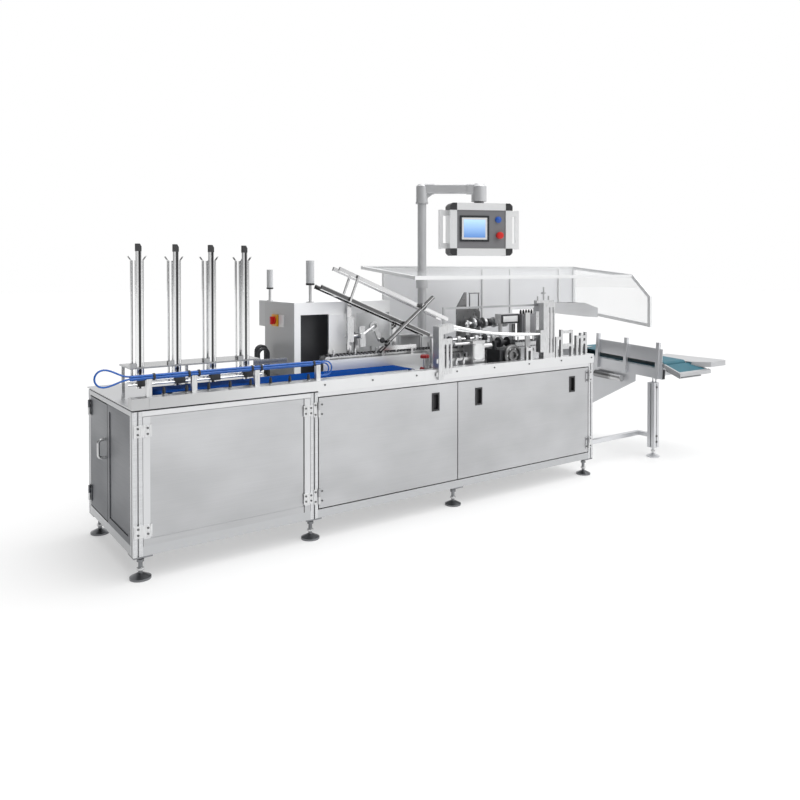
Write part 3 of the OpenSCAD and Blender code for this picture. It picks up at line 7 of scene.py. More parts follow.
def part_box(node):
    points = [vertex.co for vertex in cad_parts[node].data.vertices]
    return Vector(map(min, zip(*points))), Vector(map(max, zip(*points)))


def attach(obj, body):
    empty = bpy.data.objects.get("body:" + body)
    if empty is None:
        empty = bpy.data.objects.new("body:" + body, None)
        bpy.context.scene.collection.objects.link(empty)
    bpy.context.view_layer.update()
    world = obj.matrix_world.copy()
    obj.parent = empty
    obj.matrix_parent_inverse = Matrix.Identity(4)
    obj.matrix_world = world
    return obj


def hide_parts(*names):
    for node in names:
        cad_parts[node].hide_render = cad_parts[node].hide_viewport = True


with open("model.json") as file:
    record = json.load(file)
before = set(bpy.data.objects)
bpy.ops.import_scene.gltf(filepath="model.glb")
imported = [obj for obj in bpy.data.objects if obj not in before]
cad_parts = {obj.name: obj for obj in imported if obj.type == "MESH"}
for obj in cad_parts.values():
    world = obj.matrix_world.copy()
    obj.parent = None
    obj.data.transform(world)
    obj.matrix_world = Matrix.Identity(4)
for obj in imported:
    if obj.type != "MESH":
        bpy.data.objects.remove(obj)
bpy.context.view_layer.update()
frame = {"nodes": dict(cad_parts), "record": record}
nodes = frame["nodes"]
home = (2.3065, 0.41)  # the frame's origin, seen from the left front post's corner
print("frame loaded,", len(nodes), "nodes")


def at(x, y, z):
    return Vector((x - home[0], y - home[1], z))


# camera at the operator's corner
shot = {"place": (-3.3115, -3.953, 1.465), "yaw": 35.51, "down": 0.79, "lens": 33.75, "sensor": 36,
        "shift": -0.151, "far": 60}
camData = bpy.data.cameras.new("photoCamera")
camData.lens = shot["lens"]
camData.sensor_width = shot["sensor"]
camData.shift_y = shot["shift"]
camData.clip_end = shot["far"]
cam = bpy.data.objects.new("photoCamera", camData)
cam.location = shot["place"]
cam.rotation_euler = (math.radians(90 - shot["down"]), 0, math.radians(-shot["yaw"]))
bpy.context.scene.collection.objects.link(cam)
bpy.context.scene.camera = cam

# air hoses, routes as in the part's source
airHose = {"leftEnd": (-0.0005, 0.041, 0.952), "rightEnd": (1.0135, 0.041, 0.952), "strand": 0.009,
           "strandTurn": 72, "smooth": 2}
airLoop = {"radius": 0.0045, "strands": (2, 4), "bend": 0.040, "reach": 0.118, "up": 0.008,
           "turnStep": 36, "legSteps": 5}
airHook = {"radius": 0.004, "outer": (3, 0.034, 0.038), "inner": (1, 0.028, 0.033), "turnStep": 30}


def strandEnd(end, i):
    turn = math.radians(airHose["strandTurn"] * i)
    return at(*end) + airHose["strand"] * Vector((0, math.sin(turn), -math.cos(turn)))


def swing(a, b, u):
    rise = u * u * (3 - 2 * u)
    return Vector((a.x + (b.x - a.x) * u, a.y + (b.y - a.y) * u, a.z + (b.z - a.z) * rise))


def loopRoute():
    first, last = (strandEnd(airHose["leftEnd"], i) for i in airLoop["strands"])
    middle = at(*airHose["leftEnd"]) + Vector((-airLoop["reach"], 0, airLoop["up"]))
    turns = [math.radians(q) for q in range(90, 271, airLoop["turnStep"])]
    rim = [middle + airLoop["bend"] * Vector((math.cos(q), 0, math.sin(q))) for q in turns]
    legs = airLoop["legSteps"]
    out = [swing(first, rim[0], k / legs) for k in range(legs)]
    back = [swing(rim[-1], last, k / legs) for k in range(1, legs + 1)]
    return out + rim + back


def hookRoute(strand, run, r):
    start = strandEnd(airHose["rightEnd"], strand)
    turns = [math.radians(q) for q in range(90, -91, -airHook["turnStep"])]
    rim = [(run + r * math.cos(q), r * math.sin(q) - r) for q in turns]
    stops = ((0, 0), (run / 2, 0), *rim, (run / 2, -2 * r), (0, -2 * r))
    return [start + Vector((x, 0, z)) for x, z in stops]


def smoothRoute(points, steps):
    ends = [2 * points[0] - points[1], *points, 2 * points[-1] - points[-2]]
    made = []
    for a, b, c, d in zip(ends, ends[1:], ends[2:], ends[3:]):
        for k in range(steps):
            t = k / steps
            made.append(0.5 * (2 * b + (c - a) * t + (2 * a - 5 * b + 4 * c - d) * t ** 2
                               + (3 * b - a - 3 * c + d) * t ** 3))
    return made + [points[-1]]


def airLine(name, points, radius):
    run = smoothRoute(points, airHose["smooth"])
    curve = bpy.data.curves.new(name, "CURVE")
    curve.dimensions = "3D"
    curve.bevel_depth = 1  # each point's own radius sets the thickness
    curve.bevel_resolution = 5
    curve.use_fill_caps = True
    line = curve.splines.new("POLY")
    line.points.add(len(run) - 1)
    for spot, place in zip(line.points, run):
        spot.co = (*place, 1)
        spot.radius = radius
    line.use_smooth = True
    piece = bpy.data.objects.new(name, curve)
    bpy.context.scene.collection.objects.link(piece)
    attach(piece, "machine")
    length = sum((b - a).length for a, b in zip(run, run[1:]))
    return piece


loopLine = airLine("airLoop", loopRoute(), airLoop["radius"])
outerDrop = airLine("airDropOuter", hookRoute(*airHook["outer"]), airHook["radius"])
innerDrop = airLine("airDropInner", hookRoute(*airHook["inner"]), airHook["radius"])
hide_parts("air_hose_loop")
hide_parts("air_hose_drops")
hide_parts("air_hose_drops")
print("air lines laid")

# studio: a white surround that reflects darker from the left and from behind the camera, three soft lights;
# the fades hold where they start and end along the heading, and their lowest power
studio = {"left": (-0.55, 0.12, 0.12), "behind": (-0.8, 0.3, 0.55), "floorSize": 90, "floorTone": 0.46,
          "floorGlow": 0.42}
sun = {"place": (2.5, -4.0, 6.0), "aim": (0, 0, 0), "power": 2.7, "spread": 80}
topLamp = {"place": (0.5, 0.5, 6.0), "aim": (0.3, 0, 0.8), "power": 90, "size": (6, 3)}
mouthLamp = {"place": at(1.58, 0.50, 1.24), "aim": at(1.58, 0.84, 0.95), "power": 0.45, "size": (0.30, 0.06)}
bpy.context.scene.view_settings.view_transform = "Standard"
world = bpy.data.worlds.new("studio")
world.use_nodes = True
bpy.context.scene.world = world
sky = world.node_tree


def skyNode(kind, **settings):
    made = sky.nodes.new(kind)
    for key, value in settings.items():
        setattr(made, key, value)
    return made


def skyFade(source, start, end, low):
    fade = skyNode("ShaderNodeMapRange", interpolation_type="SMOOTHSTEP")
    sky.links.new(source, fade.inputs[0])
    for socket, value in zip(("From Min", "From Max", "To Min", "To Max"), (start, end, low, 1.0)):
        fade.inputs[socket].default_value = value
    return fade.outputs[0]


heading = skyNode("ShaderNodeSeparateXYZ")
sky.links.new(skyNode("ShaderNodeTexCoord").outputs["Generated"], heading.inputs[0])
skyPower = skyNode("ShaderNodeMath", operation="MULTIPLY")
sky.links.new(skyFade(heading.outputs["X"], *studio["left"]), skyPower.inputs[0])
sky.links.new(skyFade(heading.outputs["Y"], *studio["behind"]), skyPower.inputs[1])
seenPower = skyNode("ShaderNodeMath", operation="MAXIMUM")  # the camera itself sees plain white
sky.links.new(skyPower.outputs[0], seenPower.inputs[0])
sky.links.new(skyNode("ShaderNodeLightPath").outputs["Is Camera Ray"], seenPower.inputs[1])
backdrop = sky.nodes["Background"]
backdrop.inputs[0].default_value = (1, 1, 1, 1)
sky.links.new(seenPower.outputs[0], backdrop.inputs[1])


def softLight(name, kind, lamp, **shape):
    light = bpy.data.lights.new(name, kind)
    light.energy = lamp["power"]
    for key, value in shape.items():
        setattr(light, key, value)
    ob = bpy.data.objects.new(name, light)
    ob.location = lamp["place"]
    ob.rotation_euler = (Vector(lamp["aim"]) - Vector(lamp["place"])).to_track_quat("-Z", "Y").to_euler()
    bpy.context.scene.collection.objects.link(ob)


softLight("skyLight", "SUN", sun, angle=math.radians(sun["spread"]))
for name, lamp in (("topLight", topLamp), ("mouthLight", mouthLamp)):
    softLight(name, "AREA", lamp, shape="RECTANGLE", size=lamp["size"][0], size_y=lamp["size"][1])
print("studio lit")


# shader wiring: a socket that takes part in sums, and one way to add any node
class Wire:
    def __init__(self, finish, socket):
        self.finish, self.socket = finish, socket

    def sum(self, operation, a, b):
        return self.finish.node("ShaderNodeMath", {"operation": operation}, {0: a, 1: b})

    def __add__(self, other):
        return self.sum("ADD", self, other)

    def __radd__(self, other):
        return self.sum("ADD", other, self)

    def __mul__(self, other):
        return self.sum("MULTIPLY", self, other)

    def __rmul__(self, other):
        return self.sum("MULTIPLY", other, self)

    def either(self, other):
        return self.sum("MAXIMUM", self, other)


class Finish:
    def __init__(self, name, colour, metallic=0.0, roughness=0.5, **fixed):
        self.mat = bpy.data.materials.new(name)
        self.mat.use_nodes = True
        self.mat.diffuse_color = (*colour, 1)
        self.tree = self.mat.node_tree
        self.shader = self.tree.nodes["Principled BSDF"]
        self.colour = colour
        self.feed("Base Color", (*colour, 1))
        self.feed("Metallic", metallic)
        self.feed("Roughness", roughness)
        for socket, value in fixed.items():
            self.feed(socket.replace("_", " "), value)

    def node(self, kind, settings, sockets, outlet=0):
        made = self.tree.nodes.new(kind)
        for key, value in settings.items():
            if key == "stops":
                while len(made.color_ramp.elements) < len(value):
                    made.color_ramp.elements.new(0.5)
                for stop, (place, tone) in zip(made.color_ramp.elements, value):
                    stop.position = place
                    stop.color = (*tone, 1)
            else:
                setattr(made, key, value)
        for key, value in sockets.items():
            self.plug(made.inputs[key], value)
        return Wire(self, made.outputs[outlet])

    def plug(self, inlet, value):
        if isinstance(value, Wire):
            self.tree.links.new(value.socket, inlet)
        else:
            inlet.default_value = value

    def feed(self, socket, value):
        self.plug(self.shader.inputs[socket], value)

    def fed(self, socket):
        return Wire(self, self.shader.inputs[socket].links[0].from_socket)

    def space(self, scale=(1, 1, 1), turn=(0, 0, 0), move=(0, 0, 0)):
        where = self.node("ShaderNodeTexCoord", {}, {}, "Object")
        return self.node("ShaderNodeMapping", {}, {"Vector": where, "Location": move, "Rotation": turn,
                                                   "Scale": scale})

    def along(self, axis, start, end, tilt=0.0, kind="SMOOTHSTEP"):
        spot = self.space(turn=(0, math.radians(tilt), 0))
        place = self.node("ShaderNodeSeparateXYZ", {}, {0: spot}, axis)
        return self.node("ShaderNodeMapRange", {"interpolation_type": kind},
                         {0: place, "From Min": start, "From Max": end})

    def greys(self, place, stops):
        tones = [(spot, (tone, tone, tone * 1.01)) for spot, tone in stops]
        self.feed("Base Color", self.node("ShaderNodeValToRGB", {"stops": tones}, {0: place}))

    def cloud(self, density, detail=2.0, **space):
        return self.node("ShaderNodeTexNoise", {}, {"Vector": self.space(**space), "Scale": density,
                                                    "Detail": detail})

    def blend(self, mask, low, high):
        return self.node("ShaderNodeMix", {"data_type": "RGBA"}, {0: mask, 6: low, 7: high}, 2)

    def tint(self, mask, low, high):
        return self.blend(mask, (*low, 1), (*high, 1))

    def shades(self, mask, spread):
        low = [max(0, c * (1 - spread)) for c in self.colour]
        high = [min(1, c * (1 + spread)) for c in self.colour]
        self.feed("Base Color", self.tint(mask, low, high))

    def relief(self, height, strength, distance=0.001):
        self.feed("Normal", self.node("ShaderNodeBump", {}, {"Height": height, "Strength": strength,
                                                            "Distance": distance}))


finishes = {}


def keep(slot, finish):
    finishes[slot] = finish.mat


# drawn aluminium: long fine lines up the posts and along the rails
def drawnProfile(name, tone):
    drawn = Finish(name, tone, 0.90, 0.30)
    upLines = drawn.cloud(1.0, 2.0, scale=(260, 260, 3))
    lines = upLines * 0.5 + drawn.cloud(1.0, 2.0, scale=(3, 260, 260)) * 0.5
    drawn.shades(lines, 0.34)
    drawn.feed("Roughness", 0.28 + lines * 0.14)
    drawn.relief(lines, 0.05)
    return drawn


keep("frame_profile", drawnProfile("drawnProfile", (0.47, 0.478, 0.488)))
# posts: painted light, a paler copy of the same drawn aluminium
postProfile = drawnProfile("postProfile", (0.60, 0.608, 0.618))

# rails: painted light, the upper rails paler than the lower rails of the same profile
railProfile = drawnProfile("railProfile", (0.47, 0.478, 0.488))
railProfile.feed("Base Color", railProfile.tint(railProfile.along("Z", 0.4, 0.6), railProfile.colour,
                                                (0.68, 0.685, 0.695)))


# brushed sheet: lines along the machine, slow clouds of polish in the roughness and of painted reflection in
# the colour, and painted light that makes it paler towards the deck
sheetCloud = {"density": 1.6, "gain": 2.4, "shift": -0.7}


def brushedSheet(name, tone, spread):
    brushed = Finish(name, tone, 0.92, 0.34)
    grain = brushed.cloud(1.0, 3.0, scale=(4, 4, 420))
    polishAndReflection = brushed.cloud(sheetCloud["density"], 3.0, scale=(1, 1, 1.6)) * sheetCloud["gain"]
    polishAndReflection = polishAndReflection + sheetCloud["shift"]
    # colour: painted reflection from the slow cloud, painted light rising with height
    brushed.shades(grain * 0.25 + polishAndReflection * 0.5 + brushed.along("Z", 0.1, 0.8) * 0.25, spread)
    brushed.feed("Roughness", 0.24 + polishAndReflection * 0.16 + grain * 0.10)
    brushed.relief(grain, 0.06)
    return brushed


keep("sheet_steel", brushedSheet("brushedSheet", (0.48, 0.485, 0.495), 0.28))
# end panels: painted shade, dark at the left end and fading to the normal sheet tone towards the right
shadedEndSheet = brushedSheet("shadedEndSheet", (0.118, 0.124, 0.136), 0.20)
endShadeFade = shadedEndSheet.along("X", -1.0, 1.0)
shadedEndSheet.feed("Base Color", shadedEndSheet.tint(endShadeFade, shadedEndSheet.colour, (0.47, 0.475, 0.485)))
guardSheet = brushedSheet("guardSheet", (0.74, 0.745, 0.75), 0.12)

# fixed front panel: pale stiles beside the brushed sheet, with a painted shadow gap along the right one
stile = {"border": 0.034, "edge": 0.001, "seam": 0.006, "pale": (0.62, 0.625, 0.635, 1),
         "dark": (0.05, 0.05, 0.052, 1)}
framedSheet = brushedSheet("framedSheet", (0.48, 0.485, 0.495), 0.28)
sheetTone = framedSheet.fed("Base Color")
panelLow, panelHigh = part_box("front_left_panel")
stileEdge = panelHigh[0] - stile["border"]


def between(finish, low, high):
    return finish.along("X", low, low + stile["edge"]) * finish.along("X", high, high - stile["edge"])


stileFoot = panelLow[2] + stile["border"]
belowStiles = framedSheet.along("Z", stileFoot + stile["edge"], stileFoot)
onSheet = between(framedSheet, panelLow[0] + stile["border"], stileEdge)
# a thin band of painted shadow in the gap beside the right stile
onShadowGap = between(framedSheet, stileEdge - stile["seam"], stileEdge)
withStiles = framedSheet.blend(onSheet.either(belowStiles), stile["pale"], sheetTone)
framedSheet.feed("Base Color", framedSheet.blend(onShadowGap, withStiles, stile["dark"]))
# front beam: painted shade, darker towards its left end
beamSheet = brushedSheet("beamSheet", (0.60, 0.605, 0.61), 0.10)
beamSheet.shades(beamSheet.along("X", -2.3, -1.2), 0.20)

# machined fittings: cross-milled satin, with painted shade in the hollows of the pattern
milled = Finish("milledFitting", (0.62, 0.625, 0.63), 0.95, 0.26)
cuts = milled.cloud(1.0, 2.0, scale=(180, 180, 25))
milled.shades(cuts, 0.30)
milled.feed("Roughness", 0.20 + cuts * 0.22)
milled.relief(cuts, 0.05)
keep("fitting_steel", milled)

# magazine angles: painted reflections, a bright edge on each side of a dark middle
angleBar = {"first": 0.082, "pitch": 0.184 / 8}
polished = Finish("polishedAngle", (0.42, 0.425, 0.435), 1.0, 0.16)
turns = (angleBar["first"] - home[0]) / angleBar["pitch"]
reflectionStripe = polished.node("ShaderNodeTexWave", {"wave_type": "BANDS", "bands_direction": "X"},
                       {"Vector": polished.space(), "Scale": math.pi / 10 / angleBar["pitch"],
                        "Phase Offset": -2 * math.pi * (turns % 1)})
reflectionEdges = polished.node("ShaderNodeMapRange", {"interpolation_type": "SMOOTHSTEP"},
                      {0: reflectionStripe, "From Min": 0.25, "From Max": 0.75})
# painted reflection: dark middle, bright edges
polished.feed("Base Color", polished.tint(reflectionEdges, (0.05, 0.05, 0.052), (0.82, 0.825, 0.83)))
polished.feed("Roughness", 0.12 + polished.cloud(20.0, 2.0, scale=(1, 1, 0.1)) * 0.12)

bright = Finish("polishedRod", (0.84, 0.845, 0.85), 1.0, 0.10)
rings = bright.cloud(1.0, 1.0, scale=(500, 60, 60))
bright.shades(rings, 0.08)
bright.feed("Roughness", 0.07 + rings * 0.10)
keep("bright_rod", bright)


# chute bars: painted reflections, dark sides with painted highlights on the edges of the lower pair and a
# painted-bright upper pair; a strut in painted dark and bright bands
chuteBar = Finish("chuteBar", (0.6, 0.6, 0.6), 1.0, 0.16)
chuteBar.greys(chuteBar.along("Z", 0.82, 1.0, -22, "LINEAR"),
               ((0.045, 0.75), (0.06, 0.13), (0.165, 0.13), (0.18, 0.78)))
chuteBar.feed("Roughness", 0.12 + chuteBar.cloud(30.0, 2.0) * 0.12)
# strut: painted reflection, dark bands round a bright middle
strutBar = Finish("strutBar", (0.6, 0.6, 0.6), 1.0, 0.2)
strutBar.greys(strutBar.along("Z", 1.18, 1.22, 37.1, "LINEAR"),
               ((0.12, 0.66), (0.16, 0.10), (0.42, 0.10), (0.46, 0.75), (0.54, 0.75), (0.58, 0.10),
                (0.84, 0.10), (0.88, 0.66)))
strutBar.feed("Roughness", 0.14 + strutBar.cloud(30.0, 2.0) * 0.12)

# drive units: dark disc in front, milled blocks, dark plate at the back
driveSteel = Finish("driveSteel", (0.5, 0.5, 0.5), 0.9, 0.28)
driveSteel.greys(driveSteel.along("Y", -0.36, 0.10, 0, "LINEAR"),
                 ((0.07, 0.20), (0.09, 0.60), (0.85, 0.60), (0.92, 0.26)))
driveSteel.feed("Roughness", 0.2 + driveSteel.cloud(25.0, 3.0) * 0.2)
footSteel = Finish("footSteel", (0.20, 0.205, 0.215), 0.95, 0.28)
footSteel.shades(footSteel.cloud(12.0, 3.0), 0.45)
plateSteel = Finish("plateSteel", (0.34, 0.345, 0.35), 0.95, 0.24)
plateSteel.shades(plateSteel.cloud(9.0, 3.0), 0.3)
screwSteel = Finish("screwSteel", (0.16, 0.162, 0.165), 0.9, 0.35)
screwSteel.shades(screwSteel.cloud(60.0, 2.0), 0.3)
palerSteel = Finish("palerSteel", (0.62, 0.628, 0.645), 0.75, 0.30)
palerSteel.shades(palerSteel.cloud(2.5, 3.0), 0.14)
knobRed = Finish("knobRed", (0.30, 0.008, 0.010), 0.0, 0.3)
knobRed.shades(knobRed.cloud(50.0, 2.0), 0.2)


# satin paint with a little orange peel
def satinPaint(name, tone, metallic=0.1):
    paint = Finish(name, tone, metallic, 0.42)
    haze = paint.cloud(2.2, 3.0)
    paint.shades(haze, 0.05)
    paint.feed("Roughness", 0.36 + haze * 0.12)
    paint.relief(paint.cloud(900.0, 1.0), 0.08, 0.0004)
    return paint


keep("painted_housing", satinPaint("lightCoat", (0.62, 0.625, 0.63)))
hoodWall = satinPaint("hoodWall", (0.78, 0.785, 0.80), 0.3)
hoodBar = satinPaint("hoodBar", (0.78, 0.785, 0.79), 0.4)
# opener housing: painted shade, its left face a darker tone than the front
houseCoat = satinPaint("houseCoat", (0.88, 0.885, 0.89))
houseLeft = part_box("opener_housing")[0][0]
houseCoat.feed("Base Color", houseCoat.tint(houseCoat.along("X", houseLeft - 0.0005, houseLeft + 0.003),
                                            (0.54, 0.545, 0.55), (0.88, 0.885, 0.89)))

darkCoat = Finish("darkCoat", (0.035, 0.036, 0.040), 0.2, 0.42)
dust = darkCoat.cloud(6.0, 4.0)
darkCoat.shades(dust, 0.5)
darkCoat.feed("Roughness", 0.32 + dust * 0.22)
darkCoat.relief(darkCoat.cloud(700.0, 1.0), 0.08, 0.0004)
keep("dark_panel", darkCoat)

gasket = Finish("gasketRubber", (0.020, 0.020, 0.022), 0.0, 0.75)
bloom = gasket.cloud(30.0, 4.0)
gasket.shades(bloom, 0.6)
gasket.feed("Roughness", 0.6 + bloom * 0.25)
gasket.relief(bloom, 0.15, 0.0005)
keep("black_rubber", gasket)

moulded = Finish("blackMoulding", (0.022, 0.022, 0.024), 0.0, 0.5)
spark = moulded.cloud(1400.0, 2.0)
moulded.shades(moulded.cloud(8.0, 3.0), 0.4)
moulded.feed("Roughness", 0.40 + spark * 0.2)
moulded.relief(spark, 0.25, 0.0002)
keep("black_plastic", moulded)

hose = Finish("blueAirHose", (0.001, 0.080, 0.35), 0.0, 0.30, Coat_Weight=0.05, Coat_Roughness=0.1)
sheen = hose.cloud(40.0, 2.0)
hose.shades(sheen, 0.35)
hose.feed("Roughness", 0.16 + sheen * 0.14)
keep("blue_hose", hose)

flatBelt = Finish("blueFlatBelt", (0.0015, 0.040, 0.205), 0.0, 0.8, IOR=1.05)
weave = flatBelt.node("ShaderNodeTexWave", {"wave_type": "BANDS", "bands_direction": "DIAGONAL"},
                      {"Vector": flatBelt.space(scale=(260, 260, 260)), "Scale": 1.0, "Distortion": 0.4})
rub = flatBelt.cloud(3.0, 3.0, scale=(0.4, 4, 4))
flatBelt.shades(rub, 0.4)
flatBelt.feed("Roughness", 0.50 + rub * 0.2 + weave * 0.06)
flatBelt.relief(weave, 0.12, 0.0004)
keep("blue_belt", flatBelt)

greenBelt = Finish("greenBelt", (0.036, 0.130, 0.170), 0.0, 0.6, Specular_IOR_Level=0.2)
cloth = greenBelt.node("ShaderNodeTexWave", {"wave_type": "BANDS", "bands_direction": "DIAGONAL"},
                       {"Vector": greenBelt.space(scale=(300, 300, 300)), "Scale": 1.0, "Distortion": 0.3})
wear = greenBelt.cloud(4.0, 3.0, scale=(4, 0.6, 4))
greenBelt.shades(wear, 0.25)
greenBelt.feed("Roughness", 0.45 + wear * 0.2 + cloth * 0.05)
greenBelt.relief(cloth, 0.15, 0.0004)
keep("green_belt", greenBelt)

oiled = Finish("oiledChain", (0.11, 0.11, 0.115), 0.9, 0.35)
pitchBand = oiled.node("ShaderNodeTexWave", {"wave_type": "BANDS", "bands_direction": "X"},
                       {"Vector": oiled.space(), "Scale": 12.4, "Distortion": 0.0})
oiled.shades(pitchBand, 0.8)
oiled.feed("Roughness", 0.25 + oiled.cloud(40.0, 2.0) * 0.3)
oiled.relief(pitchBand, 0.5, 0.002)
keep("chain_steel", oiled)

clear = Finish("clearGuard", (0.93, 0.95, 0.96), 0.0, 0.06, IOR=1.3)
smear = clear.cloud(1.2, 3.0)
clear.feed("Alpha", 0.10 + smear * 0.10)
clear.feed("Roughness", 0.04 + smear * 0.08)
clear.mat.surface_render_method = "BLENDED"
keep("clear_sheet", clear)

yellow = Finish("switchYellow", (0.85, 0.42, 0.02), 0.0, 0.32)
yellow.shades(yellow.cloud(60.0, 3.0), 0.12)
yellow.relief(yellow.cloud(1200.0, 1.0), 0.1, 0.0002)
keep("switch_yellow", yellow)

red = Finish("switchRed", (0.62, 0.015, 0.012), 0.0, 0.30)
red.shades(red.cloud(60.0, 3.0), 0.18)
red.relief(red.cloud(1200.0, 1.0), 0.1, 0.0002)
keep("switch_red", red)

lens = Finish("frostedLamp", (0.52, 0.53, 0.54), 0.0, 0.32, Coat_Weight=0.3)
# painted soft shade in vertical streaks in the colour; the same cloud varies the roughness as frost
frostAndShading = lens.cloud(14.0, 3.0, scale=(1, 1, 0.3))
lens.shades(frostAndShading, 0.10)
lens.feed("Roughness", 0.26 + frostAndShading * 0.16)
keep("lamp_lens", lens)

casting = Finish("greyCasting", (0.50, 0.505, 0.515), 0.35, 0.42)
sand = casting.cloud(500.0, 2.0)
casting.shades(casting.cloud(3.0, 3.0), 0.08)
casting.feed("Roughness", 0.36 + sand * 0.12)
casting.relief(sand, 0.12, 0.0004)
keep("arm_casting", casting)

panelCoat = Finish("panelGrey", (0.19, 0.19, 0.20), 0.1, 0.45)
pebble = panelCoat.cloud(800.0, 2.0)
panelCoat.shades(panelCoat.cloud(5.0, 3.0), 0.12)
panelCoat.feed("Roughness", 0.40 + pebble * 0.12)
panelCoat.relief(pebble, 0.12, 0.0003)
keep("panel_grey", panelCoat)

trimMetal = Finish("whiteTrim", (0.78, 0.785, 0.79), 0.3, 0.34)
drawLines = trimMetal.cloud(1.0, 2.0, scale=(6, 300, 300))
trimMetal.shades(drawLines, 0.06)
trimMetal.feed("Roughness", 0.28 + drawLines * 0.12)
keep("panel_trim", trimMetal)

screenGlass = Finish("screenBezel", (0.020, 0.022, 0.026), 0.0, 0.25, Coat_Weight=0.4)
smudge = screenGlass.cloud(9.0, 2.0)
screenGlass.shades(smudge, 0.4)
screenGlass.feed("Roughness", 0.18 + smudge * 0.14)
keep("screen_glass", screenGlass)

# each node takes its slot's finish, and the pieces that look different take their own
slotOf = {part["node"]: part["material_slot"] for part in frame["record"]["subparts"]}
for name, ob in nodes.items():
    ob.data.materials.clear()
    ob.data.materials.append(finishes[slotOf[name]])
ownFinish = ((shadedEndSheet, ("end_panels", "left_end_door")), (beamSheet, ("front_beam",)),
             (postProfile, ("frame_posts",)), (framedSheet, ("front_left_panel",)),
             (railProfile, ("frame_long_rails",)),
             (polished, ("magazine_guides",)), (guardSheet, ("infeed_bed",)), (chuteBar, ("chute_rails",)),
             (strutBar, ("chute_supports",)), (driveSteel, ("drive_units",)),
             (footSteel, ("levelling_feet",)), (houseCoat, ("opener_housing",)), (hoodWall, ("hood_back",)),
             (hoodBar, ("hood_posts", "hood_rails")), (plateSteel, ("magazine_plate",)),
             (palerSteel, ("discharge_frame", "discharge_guides", "discharge_leg")))
for finish, owners in ownFinish:
    for name in owners:
        nodes[name].data.materials[0] = finish.mat
for line in (loopLine, outerDrop, innerDrop):
    line.data.materials.append(finishes["blue_hose"])
print("finishes on", len(nodes), "nodes")


# detail pieces: start from a simple mesh, choose faces by place, finish at the origin
def begin(kind, **options):
    bpy.ops.object.select_all(action="DESELECT")
    getattr(bpy.ops.mesh, f"primitive_{kind}_add")(**options)
    return bpy.context.object


def pick(ob, test):
    bpy.ops.object.mode_set(mode="EDIT")
    bpy.ops.mesh.select_mode(type="FACE")
    bpy.ops.mesh.select_all(action="DESELECT")
    bpy.ops.object.mode_set(mode="OBJECT")
    for face in ob.data.polygons:
        face.select = test(face)
    bpy.ops.object.mode_set(mode="EDIT")


def isTop(face):
    return face.normal.z > 0.9


def extrude(x=0.0, y=0.0, z=0.0):
    bpy.ops.mesh.extrude_region_move(TRANSFORM_OT_translate={"value": (x, y, z)})


def topInset(ob, edge):
    pick(ob, isTop)
    bpy.ops.mesh.inset(thickness=edge)


def change(ob, kind, **settings):
    bpy.ops.object.mode_set(mode="OBJECT")
    step = ob.modifiers.new(kind.lower(), kind)
    for key, value in settings.items():
        setattr(step, key, value)
    bpy.ops.object.modifier_apply(modifier=step.name)


def soften(ob, width, segments=2):
    change(ob, "BEVEL", width=width, segments=segments, limit_method="ANGLE")
    return ob


def block(width, height, depth):
    made = begin("cube", size=1)
    made.scale = (width, height, depth)
    bpy.ops.object.transform_apply(location=False, rotation=False, scale=True)
    return made


def plainPlate(size, edge, rise):
    plate = block(*size)
    topInset(plate, edge)
    extrude(z=rise)
    return plate


def slab(size, edge, rise):
    return soften(plainPlate(size, edge, rise), min(edge, size[2]) * 0.25)


def spread(ob, places):
    bpy.ops.object.mode_set(mode="OBJECT")
    bpy.context.view_layer.update()
    twins = []
    for place in places:
        twin = ob.copy()
        twin.data = ob.data.copy()
        twin.matrix_world = place @ ob.matrix_world
        bpy.context.scene.collection.objects.link(twin)
        twins.append(twin)
    bpy.data.objects.remove(ob)
    bpy.ops.object.select_all(action="DESELECT")
    for twin in twins:
        twin.select_set(True)
    bpy.context.view_layer.objects.active = twins[0]
    if len(twins) > 1:
        bpy.ops.object.join()
    return bpy.context.object


def done(ob, name, slot, body="machine", finish=None, sharp=30):
    bpy.ops.object.transform_apply(location=True, rotation=True, scale=True)
    ob.name = name
    ob.data.materials.clear()
    ob.data.materials.append(finish.mat if finish else finishes[slot])
    bpy.ops.object.shade_smooth_by_angle(angle=math.radians(sharp))
    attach(ob, body)
    return ob


upright = Matrix()
lookFront = Matrix.Rotation(math.pi / 2, 4, "X")
lookLeft = Matrix.Rotation(-math.pi / 2, 4, "Y")


def facing(turn, x, y, z):
    return Matrix.Translation(at(x, y, z)) @ turn


def standing(spots, z):
    return [facing(upright, x, y, z) for x, y in spots]


# socket screws of the panel plates, hinges, beam and discharge leg
screw = {"radius": 0.0055, "height": 0.004, "socket": 0.0024, "depth": 0.0022, "edge": 0.0006}
plateRow = {"x": (0.022, 0.068, 0.904, 0.935), "y": -0.006, "half": 0.014, "heights": (0.236, 0.706)}
hingeRow = {"x": (0.962, 3.182), "end": 0.812, "face": -0.005, "half": 0.026, "heights": (0.236, 0.706)}
leafRow = {"middle_door": 1.002, "right_door": 3.142, "end": 0.772}
beamRow = {"first": 1.020, "pitch": 0.310, "count": 8, "y": -0.006, "height": 0.836}
legRow = {"x": 3.996, "y": 0.031, "heights": (0.545, 0.165, 0.12), "size": 1.6}


def screwHead(size=1.0):
    head = begin("cylinder", vertices=20, radius=screw["radius"] * size, depth=screw["height"] * size)
    topInset(head, screw["socket"] * size)
    extrude(z=-screw["depth"] * size)
    return soften(head, screw["edge"] * size)


def pairs(row):
    return [z + dz for z in row["heights"] for dz in (-row["half"], row["half"])]


def leafScrews(turn, x, y):
    return spread(screwHead(), [facing(turn, x, y, z) for z in pairs(hingeRow)])


